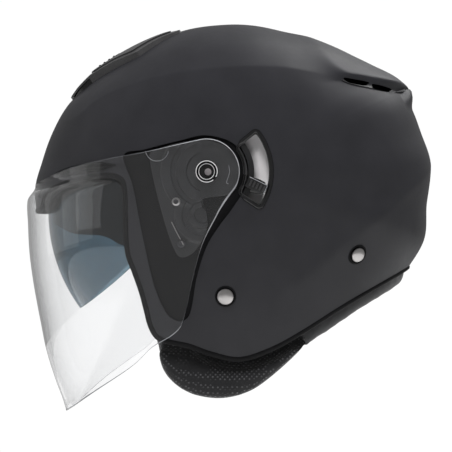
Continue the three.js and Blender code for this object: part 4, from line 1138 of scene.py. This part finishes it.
def base_plate():
    """Moulded carrier under the visor's ear: stepped rings about both pivots."""
    outline = spline(PLATE_OUTLINE, 10, True)

    def surface(y, z):
        base = SHELL.at(y, z)[0][..., 0]
        front = smoothstep((-y - 3) / 5) * smoothstep((z + 24) / 6)
        bottom = smoothstep((-z - 19) / 3)
        relief = np.zeros_like(y) - 0.5
        for share, distance, softness, steps in (
            (front, np.hypot(y, z), 0.9, ((13.5, 1.1), (20.5, -1.1), (24, 1.1), (30.5, -0.9))),
            (bottom, np.hypot(y + 2.5, z + 29), 0.8, ((5.5, 1.1), (9.1, -1.1), (14, 1.0), (18.9, -1.0))),
        ):
            for radius, height in steps:
                relief = relief + share * height * smoothstep((distance - radius) / softness + 0.5)
        return base + np.clip(relief, -1.4, 1.0)

    def depth(y, z):
        return SHELL.at(y, z)[0][..., 0] - RECESS_DEPTH

    plate = side_plate("base_plate_left", (-8, -8), outline, [PLATE], surface, depth, 300, 90)
    pair(plate, "helmet", "visor_base_plate")
    line = [(-23.4, -33.4), (-19.6, -41), (-15.4, -48.8)]
    point, normal = SHELL.at(*np.array(line).T)
    wire = tube("plate_spring_left", spline(point + normal * 0.9, 8), 0.35, [STEEL])
    pair(wire, "helmet", None)


def plate_screws():
    """Two pan head screws on each base plate, where the CAD puts them."""
    profile = [(0, -1.0), (2.8, -1.0), (2.9, 0.2), (2.5, 0.7), (1.7, 0.95), (1.5, 0.4), (0, 0.3)]
    dark_socket = (0, 0, 0, 0, 1, 1)
    for number in (1, 2):
        for label, side in SIDES:
            node = f"base_plate_screw_{number}_{label}"
            low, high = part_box(node)
            middle = (np.array(low) + np.array(high)) / 2 / MM
            _, normal = SHELL.at(middle[1], middle[2])
            point = (side * (abs(middle[0]) + 0.9), middle[1], middle[2])
            direction = (side * normal[0], normal[1], normal[2])
            metals = [STEEL if number == 1 else DARK_STEEL, DARK_STEEL]
            head = turned(f"plate_screw_{number}_{label}", profile, metals, 40, dark_socket)
            finish_piece(placed(head, point, direction), "helmet", [node])


# ---------------------------------------------------------------- sun visor, lever and its slot


def sun_drum(name, offset, material, steps, segments):
    """Whole rounded drum about the sun visor's pivot axis, offset from the lens's outer face."""
    angle = np.radians(np.linspace(-90, 90, steps))
    exponent = 2 / SUN_POWER
    radius = (SUN_RADIUS + offset) * np.abs(np.cos(angle)) ** exponent
    height = (SUN_HALF_WIDTH + offset) * np.sign(angle) * np.abs(np.sin(angle)) ** exponent
    radius[0] = radius[-1] = 0
    drum = turned(name, np.column_stack([radius, height]), [material], segments)
    return placed(drum, (0, *SUN_PIVOT), (1, 0, 0))


def sun_visor():
    """Smoke lens, part of a rounded drum about its own pivot axis."""
    y0, z0 = SUN_PIVOT
    lens = sun_drum("smoke_lens", 0, TINT, 97, 300)
    combine(lens, sun_drum("core", -SUN_WALL, TINT, 97, 300))
    bend = [((1 - t) ** 2 * -104 + 2 * t * (1 - t) * -62 + t * t * -52,
             (1 - t ** 2) * 5 + t * t * -19) for t in np.linspace(0, 1, 14)]
    outline = np.vstack([[(-150, 5)], bend, [(y0 - 7, z0 + 8)], arc((y0, z0), 10, 130, -130, 30),
                         [(-48, -57)], spline([(-51, -60), (-70, -77.5), (-88, -92.5), (-96, -98)], 8),
                         [(-150, -130)]])
    combine(lens, prism("window", outline, -150, 150, [TINT_EDGE]), "INTERSECT")
    cut_both_sides(lens, "bore", arc((y0, z0), 3.2, 0, 352.5, 48), 90, 130, TINT_EDGE)
    finish_piece(lens, "sun_visor", ["sun_visor_lens"])


def lever():
    """Ribbed thumb tab on an arm that turns about the visor pivot."""
    turn = Matrix.Rotation(math.radians(LEVER_ANGLE), 4, "X")
    arm_line = np.vstack([arc((0, 0), 7, 60, 300, 40), [(36, -5), (40, -4), (40, 4), (36, 5)]])
    arm = bevelled(prism("arm", arm_line, LEVER_PLANE, LEVER_PLANE + 2, [GLOSS]), 0.4)
    combine(arm, prism("bore", arc((0, 0), 3.1, 0, 350, 36), 90, 130, [GLOSS]))
    parts = [arm]
    post = block("post", (LEVER_PLANE + 1, 31, -3), (LEVER_PLANE + 11, 38, 3), [GLOSS])
    parts.append(bevelled(post, 0.6))
    tab = block("tab", (LEVER_PLANE + 8, 27.5, -3.4), (LEVER_PLANE + 13, 41.5, 3.8), [PLASTIC])
    head = [bevelled(tab, 0.5, 3)]
    rim = [(27.9, 3.4), (41.1, 3.4), (41.1, -3.0)]
    # A thin pale tube along the tab's edge, a painted highlight.
    head.append(tube("rim", [(LEVER_PLANE + 13, y, z) for y, z in evenly(rim, 40)], 0.22, [EDGE_HIGHLIGHT]))
    for n in range(5):
        y = 29.6 + 2.4 * n
        rib = block("rib", (LEVER_PLANE + 12.5, y, -2.0), (LEVER_PLANE + 13.6, y + 1.1, 2.2), [VENT])
        head.append(bevelled(rib, 0.3))
    tilted = joined("head", head)
    about = Matrix.Translation((0, 34.5 * MM, 0))
    tilted.data.transform(about @ Matrix.Rotation(math.radians(-10), 4, "X") @ about.inverted())
    piece = joined("sun_visor_lever_tab", [*parts, tilted])
    piece.data.transform(turn)
    finish_piece(piece, "sun_visor_lever", ["sun_visor_lever"])


def lever_slot():
    """Glossy bezel round the slot, and the dished panel behind it, pale with a painted reflection."""
    outline = sector((0, 0), SLOT_INNER - 1.8, SLOT_OUTER, SLOT_LOW, SLOT_HIGH, 2.2)
    line = evenly(outline, 220, True)
    point, normal = SHELL.at(line[:, 0], line[:, 1])
    ahead = np.roll(line, -1, 0) - np.roll(line, 1, 0)
    out = np.column_stack([np.zeros(len(line)), ahead[:, 1], -ahead[:, 0]])
    section = [(-5.5, 0.0), (-5.5, -1.2), (-0.6, -1.3), (0.2, -1.2), (0.8, -0.7), (1.1, 0.0),
               (1.15, 0.8), (0.9, 1.5), (0.2, 1.9), (-0.3, 1.8), (-0.4, 0.2)]
    narrow = 0.3 + 0.7 * smoothstep((np.hypot(line[:, 0], line[:, 1]) - SLOT_INNER) / 4)
    bezel = swept("lever_slot_frame", point, normal, section, [GLOSS], True, out, 50, narrow)
    parts = [bezel]
    bead = sector((0, 0), SLOT_INNER - 0.6, SLOT_OUTER - 1.2, SLOT_LOW + 2, SLOT_HIGH - 2, 1.8)
    bead = evenly(bead, 200, True)
    bead_point, bead_normal = SHELL.at(bead[:, 0], bead[:, 1])
    parts.append(tube("bead", bead_point + bead_normal * 0.5, 0.28, [VENT], bead_normal, True))
    parts.append(hub_wall())
    finish_piece(joined("lever_slot_bezel_frame", parts), "helmet", ["lever_slot_bezel"])

    def dished(y, z):
        return LEVER_PLANE - 1.4 + 0.6 * smoothstep((np.hypot(y, z) - 33) / 10)

    panel_line = sector((0, 0), SLOT_INNER - 3, SLOT_OUTER + 3, SLOT_LOW - 4, SLOT_HIGH + 4)
    panel = side_plate("lever_slot_back", (34, 2), panel_line, [PANEL_REFLECTION], dished,
                       lambda y, z: np.full_like(y, LEVER_PLANE - 3.6), 160, 24)
    finish_piece(panel, "helmet", ["lever_slot_panel"])


def hub_wall():
    """Dark curved wall between the visor's ear and the slot's panel."""
    line = arc((0, 0), 29.2, SLOT_LOW + 3, SLOT_HIGH - 3, 50)
    point = np.column_stack([np.full(len(line), 117.0), line])
    normal = np.tile([1.0, 0, 0], (len(line), 1))
    section = [(3.4, 2.6), (3.2, -1.2), (-1.9, -1.9), (-1.9, 2.6)]
    return swept("hub_wall", point, normal, section, [PLASTIC])


# ---------------------------------------------------------------- rivets


def rivets():
    """Domed strap rivets in rubber cups, at the front and rear of each side."""
    head_profile = np.array([
        (0, -7), (2.6, -7), (2.6, 0.9), (5.3, 0.9), (5.75, 1.15), (5.8, 1.6), (5.5, 2.1),
        (4.6, 2.65), (3.2, 3.1), (1.6, 3.35), (0, 3.4),
    ])
    cup_profile = [
        (2.8, -0.4), (7.1, -0.4), (7.2, 0.25), (6.9, 0.6), (6.3, 0.75), (6.1, 0.5), (2.8, 0.5),
    ]
    for where, spot, size in (("front", FRONT_RIVET, 0.95), ("rear", REAR_RIVET, 0.87)):
        point, normal = SHELL.at(*spot)
        relief = float(shell_relief(point, normal))
        for label, side in SIDES:
            lean = Vector((side * normal[0], normal[1], normal[2]))
            seat = Vector((side * point[0], point[1], point[2])) + lean * relief
            tag = f"{where}_{label}"
            head = turned(f"rivet_{tag}", head_profile * (size, 1), [STEEL], 72, sharp=60)
            finish_piece(placed(head, seat, lean), "helmet", [f"strap_rivet_{tag}"])
            cup = turned(f"rivet_cup_{tag}", cup_profile, [RUBBER], 72, sharp=60)
            finish_piece(placed(cup, seat, lean), "helmet", [f"rivet_washer_{tag}"])


# ---------------------------------------------------------------- vents and brow seal


def vent_point(along, across, up):
    """Place laid out along the vent's slope line, across it and up from it."""
    return (VENT_ORIGIN + along[..., None] * VENT_AXIS + up[..., None] * VENT_NORMAL
            + across[..., None] * np.array([1.0, 0, 0]))


def vent_prism(name, plan, low, high, material):
    """Solid over a plan outline, square to the vent's slope."""
    plan = np.asarray(plan, float)
    count = len(plan)
    rings = [vent_point(plan[:, 0], plan[:, 1], np.full(count, float(up))) for up in (low, high)]
    return new_object(name, np.vstack(rings), prism_faces(count), [material])


def vent_layer(name, stand_off, material):
    """Whole dome standing off the shell by the vent's height plus a little."""
    along, height = np.array(VENT_RISE).T

    def offset(point, normal):
        y = point[..., 1]
        return crown_rise(y) + np.interp(y, along, height) + stand_off

    return dome_solid(name, SHELL, offset, [material], 260, 120)


def vent_bed(material):
    """Whole painted dome, sunk a little so that the vent beds into it."""
    def offset(point, normal):
        return shell_relief(point, normal) - 0.8

    return dome_solid("under", SHELL, offset, [material], 260, 120)


def shrunk(plan, margin):
    """Plan outline drawn in towards its middle."""
    plan = np.asarray(plan, float)
    middle = np.array([42.0, 0.0])
    reach = np.linalg.norm(plan - middle, axis=1)[:, None]
    return middle + (plan - middle) * (1 - margin / reach)


def vent_block(name, s0, s1, half, low, high, material):
    """Box laid along the vent's slope."""
    plan = [(s0, -half), (s1, -half), (s1, half), (s0, half)]
    return vent_prism(name, plan, low, high, material)


def top_vent():
    """Wide pod over the brow: a hooded mouth, a raised cover panel and the slider's pocket."""
    plan = spline(VENT_PLAN, 8, True)
    pod = vent_layer("vent_body", 0, VENT)
    combine(pod, vent_prism("plan", plan, -34, 30, VENT), "INTERSECT")
    combine(pod, vent_bed(PLASTIC))
    mouth = vent_layer("mouth", -VENT_HOOD, GLOSS)
    combine(mouth, vent_block("front", -10, MOUTH_LENGTH, 45, -30, 30, GLOSS), "INTERSECT")
    combine(pod, mouth)
    combine(pod, vent_block("pocket", 21, 58, 12, VENT_TOP, 40, GLOSS))
    cover = vent_layer("vent_cover", 0.9, VENT)
    combine(cover, vent_prism("plan", shrunk(plan, 7), -30, 30, PLASTIC), "INTERSECT")
    combine(cover, vent_layer("under", -0.6, PLASTIC))
    combine(cover, vent_block("front", -10, MOUTH_LENGTH + 5, 60, -30, 30, PLASTIC))
    combine(cover, vent_block("pocket", 19.5, 59.5, 13.4, 0, 40, GLOSS))
    core = vent_layer("core", -VENT_HOOD - 0.3, GLOSS)
    combine(core, vent_prism("plan", shrunk(plan, 2), -34, 30, GLOSS), "INTERSECT")
    combine(core, vent_block("front", -10, MOUTH_LENGTH + 2, 60, -40, 30, GLOSS), "INTERSECT")
    combine(core, vent_bed(GLOSS))
    finish_piece(joined("top_vent", [pod, cover, core]), "helmet", ["top_vent_housing"])


def vent_slider():
    """Sliding shutter with four grip ribs."""
    low, high = VENT_TOP + 0.4, VENT_TOP + 3
    parts = [bevelled(vent_prism("slider", spline(SLIDER_PLAN, 8, True), low, high, PLASTIC), 0.7, 3)]
    for along in (29, 33, 37, 41):
        rib = vent_block("grip", along, along + 1.6, 6, high - 0.3, high + 0.9, PLASTIC)
        parts.append(bevelled(rib, 0.4))
    finish_piece(joined("vent_slider_grip", parts), "vent_slider", ["top_vent_slider"])


def rear_grilles():
    """Raised louvre over the two extractor slots of each side."""
    outline = spline(GRILLE_OUTLINE, 10, True)

    def surface(y, z):
        point, normal = SHELL.at(y, z)
        distance = outline_distance(y, z, outline)
        return point[..., 0] + 2.4 * smoothstep(distance / 1.2)

    plate = side_plate("rear_grille_left", (111, 61.3), outline, [PLASTIC],
                       surface, lambda y, z: SHELL.at(y, z)[0][..., 0] - 1.0, 260, 26)
    for points in EXTRACTOR_SLOTS:
        # The slot walls take the painted shade colour.
        combine(plate, prism("slot", spline(points, 6, True), 8, 150, [RECESS_PAINTED_SHADE]))
    pair(plate, "helmet", "rear_vent_grille")


def outline_distance(y, z, outline):
    """Distance from side view places to an outline."""
    line = evenly(outline, 240, True)
    gap = np.hypot(y[..., None] - line[:, 0], z[..., None] - line[:, 1])
    return gap.min(-1)


def brow_seal():
    """Soft rubber strip that the closed visor's top edge rests against."""
    line = within_shell(spline(BROW_LINE, 14), 0.05)
    point, normal = SHELL.at(line[:, 0], line[:, 1])
    left, right = both_sides(np.hstack([point, normal]))
    both = evenly(np.vstack([left[::-1], right]), 220)
    ends = smoothstep(np.minimum(np.arange(220), np.arange(220)[::-1]) / 16 + 0.2)
    section = [(-0.6, -3.2), (1.4, -3.1), (3.6, -2.2), (4.0, -1.2), (1.6, 0.2), (1.8, 1.6), (3.4, 2.2),
               (3.0, 3.0), (1.0, 3.4), (-0.6, 3.4)]
    seal = swept("brow_seal_strip", both[:, :3], both[:, 3:], section, [RUBBER], taper=ends, sharp=40)
    combine(seal, dome_solid("visor_inside", VISOR, -VISOR_WALL / 2 - 0.6, [RUBBER]), "INTERSECT", 40)
    finish_piece(seal, "helmet", ["brow_seal"])


# ---------------------------------------------------------------- foam, padding and straps


def head_pocket():
    """Half ellipsoid of head room, with a short straight skirt."""
    y, z = HEAD_POCKET["centre"]
    quarter = [(math.cos(a), math.sin(a)) for a in np.radians(np.linspace(0, 88, 34))]
    body = turned("pocket", [(0, -3), (1, -3), *quarter, (0, 1)], [FOAM], 160)
    size = Matrix.Diagonal([HEAD_POCKET[key] for key in ("half_width", "half_length", "rise")])
    body.data.transform(Matrix.Translation((0, y * MM, z * MM)) @ size.to_4x4())
    return body


def foam_liner():
    """Impact foam between shell and head, with room for the stowed sun visor and its lever."""
    foam = dome_solid("eps_liner", SHELL, -SHELL_WALL - 0.5, [FOAM])
    combine(foam, head_pocket())
    lower = np.vstack([[(-220, -31)], spline([(-110, -33), (-100, -37.5), (-90, -41.5), (-70, -43),
                                             (-58, -49), (-40, -55), (20, -60), (60, -62),
                                             (100, -57)], 8),
                       [(230, -44), (230, -300), (-220, -300)]])
    combine(foam, prism("lower", lower, -160, 160, [FOAM]))
    sweep_area = sector(SUN_PIVOT, 0.5, 135, 118, 236)
    room = prism("sweep", sweep_area, -160, 160, [FOAM])
    combine(room, sun_drum("core", -3.2, FOAM, 61, 120))
    combine(foam, room)
    angle = np.radians(np.linspace(0, 354, 60))
    mechanism = np.column_stack([4 + 58 * np.cos(angle), -4 + 54 * np.sin(angle)])
    cut_both_sides(foam, "lever_room", mechanism, 97.5, 160, FOAM)
    finish_piece(foam, "helmet", ["impact_foam_liner"])


def crown_liner():
    """Quilted comfort liner: long padded panels with sewn channels between them."""
    centre = HEAD_POCKET["centre"]
    columns, rows = 220, 90
    around = np.linspace(0, 2 * np.pi, columns, endpoint=False)
    down = np.linspace(0.0, 1.0, rows)[:, None]
    y_dir, x_dir = np.cos(around), np.sin(around)
    floor_y = centre[0] + HEAD_POCKET["half_length"] * y_dir
    lower = np.interp(floor_y, [-90, -60, -20, 100, 130], [-31, -38, -46, -50, -49])
    lowest = (lower - centre[1]) / HEAD_POCKET["rise"]
    tilt = np.arcsin(np.clip(lowest, -1, 1))
    elevation = np.pi / 2 + (tilt - np.pi / 2) * down
    ring = np.where(elevation > 0, np.cos(np.maximum(elevation, 0)), 1.0)
    height = np.where(elevation > 0, np.sin(elevation), elevation)
    gap = 0.6
    outer = np.stack([
        (HEAD_POCKET["half_width"] - gap) * ring * x_dir,
        centre[0] + (HEAD_POCKET["half_length"] - gap) * ring * y_dir,
        centre[1] + (HEAD_POCKET["rise"] - gap) * height,
    ], -1)
    x, y = outer[..., 0], outer[..., 1]
    lanes = np.abs(((x / 23.0 + 0.5) % 1) - 0.5) * 2
    cross = np.abs((((y - 10) / 46.0 + 0.5) % 1) - 0.5) * 2
    pillow = (1 - lanes ** 4) ** 0.5 * (1 - 0.75 * cross ** 14)
    border = smoothstep((1 - down) / 0.07)
    channel = np.minimum(3 + 6 * (1 - pillow), 6.5)
    depth = (9.3 - channel) * border + 1.2 * (1 - border)
    inward = np.stack([-(x_dir * ring), -(y_dir * ring), -np.maximum(height, 0)], -1)
    length = np.linalg.norm(inward, axis=-1)[..., None]
    inner = outer + inward / np.maximum(length, 1e-6) * depth[..., None]
    liner = new_object("quilted_crown_liner", np.vstack([outer.reshape(-1, 3), inner.reshape(-1, 3)]),
                       double_sheet(rows, columns), [LINER], sharp=70)
    finish_piece(liner, "helmet", ["crown_liner"])


def puffed(name, source, material, shrink=1.6, cap=7.0, voxel=4.6):
    """Padded fabric: a remeshed copy of a solid, swollen by a short cloth simulation.

    The copy starts shrunk by a distance, and no point ends farther than cap from where it started.
    """
    mesh = source.data.copy()
    mesh.materials.clear()
    mesh.materials.append(material)
    pad = bpy.data.objects.new(name, mesh)
    bpy.context.scene.collection.objects.link(pad)
    remesh = pad.modifiers.new("voxels", "REMESH")
    remesh.mode = "VOXEL"
    remesh.voxel_size = voxel * MM
    apply_modifiers(pad)
    start = vertex_values(pad.data) - vertex_values(pad.data, "normal") * shrink * MM
    pad.data.vertices.foreach_set("co", start.ravel())
    inflate(pad)
    shift = vertex_values(pad.data) - start
    shift -= shift.mean(0)
    length = np.linalg.norm(shift, axis=1)[:, None]
    shift *= np.minimum(1, cap * MM / np.maximum(length, 1e-9))
    pad.data.vertices.foreach_set("co", (start + shift).ravel())
    smooth = pad.modifiers.new("smooth", "SMOOTH")
    smooth.factor = 0.5
    smooth.iterations = 4
    pad.modifiers.new("fine", "SUBSURF").levels = 1
    apply_modifiers(pad)
    pad.data.shade_smooth()
    return pad


def inflate(pad):
    """Twenty steps of cloth under pressure, without gravity."""
    cloth = pad.modifiers.new("cloth", "CLOTH")
    settings = cloth.settings
    settings.use_pressure = True
    settings.uniform_pressure_force = 4
    settings.effector_weights.gravity = 0
    settings.quality = 5
    settings.tension_stiffness = 40
    settings.compression_stiffness = 40
    settings.bending_stiffness = 2
    cloth.collision_settings.use_collision = False
    for step in range(1, 21):
        bpy.context.scene.frame_set(step)
    apply_modifiers(pad)
    bpy.context.scene.frame_set(1)


def cheek_pads():
    """Dotted mesh cushions; the right one mirrors the left."""
    pad = puffed("cheek_pad_cover_left", frame["nodes"]["cheek_pad_left"], MESH)
    twin = mirrored(pad, "cheek_pad_cover_right")
    for piece, label in ((pad, "left"), (twin, "right")):
        finish_piece(piece, "helmet", [f"cheek_pad_{label}"])


def neck_roll():
    """Collar under the rear edge: a swept roll, swollen by the cloth simulation."""
    line = spline(ROLL_LINE, 14)
    depth = 15 - 8 * smoothstep((line[:, 0] - 75) / 60)
    dy, dz = line[:, 0] - SHELL.centre[0], line[:, 1] - SHELL.centre[1]
    reach = SHELL.radius(np.arctan2(dz, dy)) - depth
    share = 1 - (np.hypot(dy, dz) / reach) ** SHELL.power
    inside = share > 0
    x = (SHELL.half_width - depth[inside]) * share[inside] ** (1 / SHELL.power)
    _, normal = SHELL.at(line[inside, 0], line[inside, 1])
    data = np.hstack([x[:, None], line[inside], normal])
    data = np.vstack([data, data[-1] * (0, 1, 1, 0, 1, 1)])
    left, right = both_sides(data)
    both = evenly(np.vstack([left, right[:-1][::-1]]), 90)
    core = swept("roll_core", both[:, :3], both[:, 3:], oval(9.5, 12.0), [KNIT])
    roll = puffed("neck_roll_cover", core, KNIT, 1.2, 6.0)
    discard(core)
    finish_piece(roll, "helmet", ["neck_roll"])


def chin_pad():
    """Soft sleeve round the right webbing, under the chin."""
    pad = puffed("chin_pad_sleeve", frame["nodes"]["chin_pad"], LINER, 0.4, 4.0, 2.2)
    finish_piece(pad, "chin_strap", ["chin_pad"])


def strap_frames(start, end, count):
    """The chin strap's centre line, which hangs in a curve from side to side."""
    depth = STRAP_PIVOT_Z - STRAP_LOW_Z - STRAP_TUCK
    x = np.linspace(start, end, count)
    share = np.abs(x) / STRAP_HALF_SPAN
    z = STRAP_PIVOT_Z - STRAP_TUCK - depth * (1 - share ** STRAP_CURVE)
    slope = STRAP_CURVE * depth * share ** (STRAP_CURVE - 1) * np.sign(x) / STRAP_HALF_SPAN
    points = np.column_stack([x, np.full(count, STRAP_Y), z])
    normals = np.column_stack([-slope, np.zeros(count), np.ones(count)])
    return points, normals / np.linalg.norm(normals, axis=1)[:, None]


def strap_piece(name, start, end, thick, wide, material, radius, count=60):
    """Bar that follows the strap's line between two places across the helmet."""
    points, normals = strap_frames(start, end, count)
    section = rounded_section(-thick / 2, thick / 2, -wide / 2, wide / 2, radius)
    return swept(name, points, normals, section, [material], sharp=45)


def chin_strap():
    """Webbing on both sides, buckle case, ratchet tongue with its teeth, and release lever."""
    for label, start, end in (("left", 44, STRAP_HALF_SPAN - 1), ("right", -STRAP_HALF_SPAN + 1, 14)):
        web = strap_piece(f"chin_webbing_{label}", start, end, WEB_WALL, WEB_WIDTH, WEB, 0.6)
        finish_piece(web, "chin_strap", [f"chin_strap_{label}"])
    body = strap_piece("buckle_case", 17, 43, 9, 27, PLASTIC, 2.0, 40)
    points, normals = strap_frames(12, 37, 40)
    channel = swept("channel", points, normals, rounded_section(-1.7, 1.7, -9.5, 9.5, 0.5), [PLASTIC])
    combine(body, channel)
    finish_piece(body, "chin_strap", ["buckle_body"])
    parts = [strap_piece("tongue", 14.6, 35, 1.4, 17, DARK_STEEL, 0.3, 30)]
    for n in range(5):
        parts.append(strap_piece("tooth", 20 + 3 * n, 21.5 + 3 * n, 2.4, 15, DARK_STEEL, 0.3, 3))
    finish_piece(joined("ratchet_tongue_toothed", parts), "chin_strap", ["ratchet_tongue"])
    points, normals = strap_frames(23, 46, 40)
    section = rounded_section(-6.9, -4.9, -8, 8, 0.6)
    release = swept("buckle_release_lever", points, normals, section, [STEEL], sharp=45)
    finish_piece(release, "buckle_release", ["buckle_lever"])


def keep_cad_nodes():
    """CAD pieces whose shapes stand as they are, with better materials."""
    for names, material in (
        (("cheek_foam_left", "cheek_foam_right"), FOAM),
        (("strap_anchor_left", "strap_anchor_right"), WEB),
        (("strap_rear_band_left", "strap_rear_band_right"), WEB),
        (("sun_visor_pin_left", "sun_visor_pin_right"), STEEL),
    ):
        for name in names:
            node = frame["nodes"][name]
            node.data.materials.clear()
            node.data.materials.append(material)


# ---------------------------------------------------------------- stage, light and camera


def stage():
    """Pale round floor, well below the helmet."""
    angle = np.linspace(0, 2 * np.pi, 96, endpoint=False)
    ring = np.column_stack([FLOOR_RADIUS * np.cos(angle), FLOOR_RADIUS * np.sin(angle),
                            np.full(96, FLOOR_Z)])
    look = Look("pale_floor")
    look.ramp(look.noise(3, 2), (0.3, (0.86, 0.86, 0.86)), (0.7, (0.9, 0.9, 0.9)))
    look.roughness(look.noise(40), 0.6, 0.7)
    floor = new_object("floor", ring, [list(range(96))], [look.material])


def world():
    """White backdrop for the camera, and a much dimmer sky for light and reflections."""
    scene = bpy.context.scene
    scene.world = bpy.data.worlds.new("studio")
    scene.world.use_nodes = True
    scene.view_settings.view_transform = "Standard"
    tree = scene.world.node_tree
    rays = tree.nodes.new("ShaderNodeLightPath")

    def background(node, strength):
        node.inputs["Color"].default_value = (1, 1, 1, 1)
        node.inputs["Strength"].default_value = strength
        return node.outputs[0]

    def maths(operation, first, second):
        made = tree.nodes.new("ShaderNodeMath")
        made.operation = operation
        tree.links.new(first, made.inputs[0])
        if isinstance(second, float):
            made.inputs[1].default_value = second
        else:
            tree.links.new(second, made.inputs[1])
        return made.outputs[0]

    seen = maths("MAXIMUM", rays.outputs["Is Camera Ray"], rays.outputs["Is Transmission Ray"])
    glossy = maths("MULTIPLY", rays.outputs["Is Glossy Ray"], GLOSSY_BACKDROP)
    mix = tree.nodes.new("ShaderNodeMixShader")
    tree.links.new(maths("MAXIMUM", seen, glossy), mix.inputs["Fac"])
    tree.links.new(background(tree.nodes["Background"], SKY), mix.inputs[1])
    tree.links.new(background(tree.nodes.new("ShaderNodeBackground"), BACKDROP), mix.inputs[2])
    tree.links.new(mix.outputs[0], tree.nodes["World Output"].inputs["Surface"])


def softbox(name, place, target, size, watts, hidden=False):
    """Area lamp aimed at a place; a hidden one isn't seen in reflections."""
    light = bpy.data.lights.new(name, "AREA")
    light.shape = "RECTANGLE"
    light.size, light.size_y = size
    light.energy = watts
    lamp = bpy.data.objects.new(name, light)
    lamp.visible_glossy = not hidden
    lamp.location = place
    lamp.rotation_euler = (Vector(target) - Vector(place)).to_track_quat("-Z", "Y").to_euler()
    bpy.context.scene.collection.objects.link(lamp)


def lights():
    """Two hidden lamps for tone, and two seen in reflections: behind the helmet and in front."""
    softbox("top_softbox", (0.3, 0.5, 1.4), (0, 0.05, 0), (0.6, 0.6), 18, True)
    softbox("high_side_softbox", (1.2, -0.1, 1.3), (0, 0, 0), (0.6, 0.6), 26, True)
    softbox("rim_softbox", (-0.75, 0.75, 1.1), (0, 0, 0), (0.9, 0.9), 9)
    softbox("front_softbox", (0.25, -1.5, 0.45), (0, 0, 0), (0.9, 1.5), 2.6)


def camera():
    """Long lens looking square on at the wearer's left side."""
    data = bpy.data.cameras.new("camera")
    data.lens = CAMERA_LENS
    seen = bpy.data.objects.new("camera", data)
    seen.location = CAMERA_PLACE
    seen.rotation_euler = (math.radians(90), 0, math.radians(90))
    bpy.context.scene.collection.objects.link(seen)
    bpy.context.scene.camera = seen


camera()
world()
lights()
stage()
outer_shell()
edge_trim()
clear_visor()
pivot_cap()
base_plate()
plate_screws()
sun_visor()
lever()
lever_slot()
rivets()
top_vent()
vent_slider()
rear_grilles()
brow_seal()
foam_liner()
crown_liner()
cheek_pads()
neck_roll()
chin_pad()
chin_strap()
keep_cad_nodes()
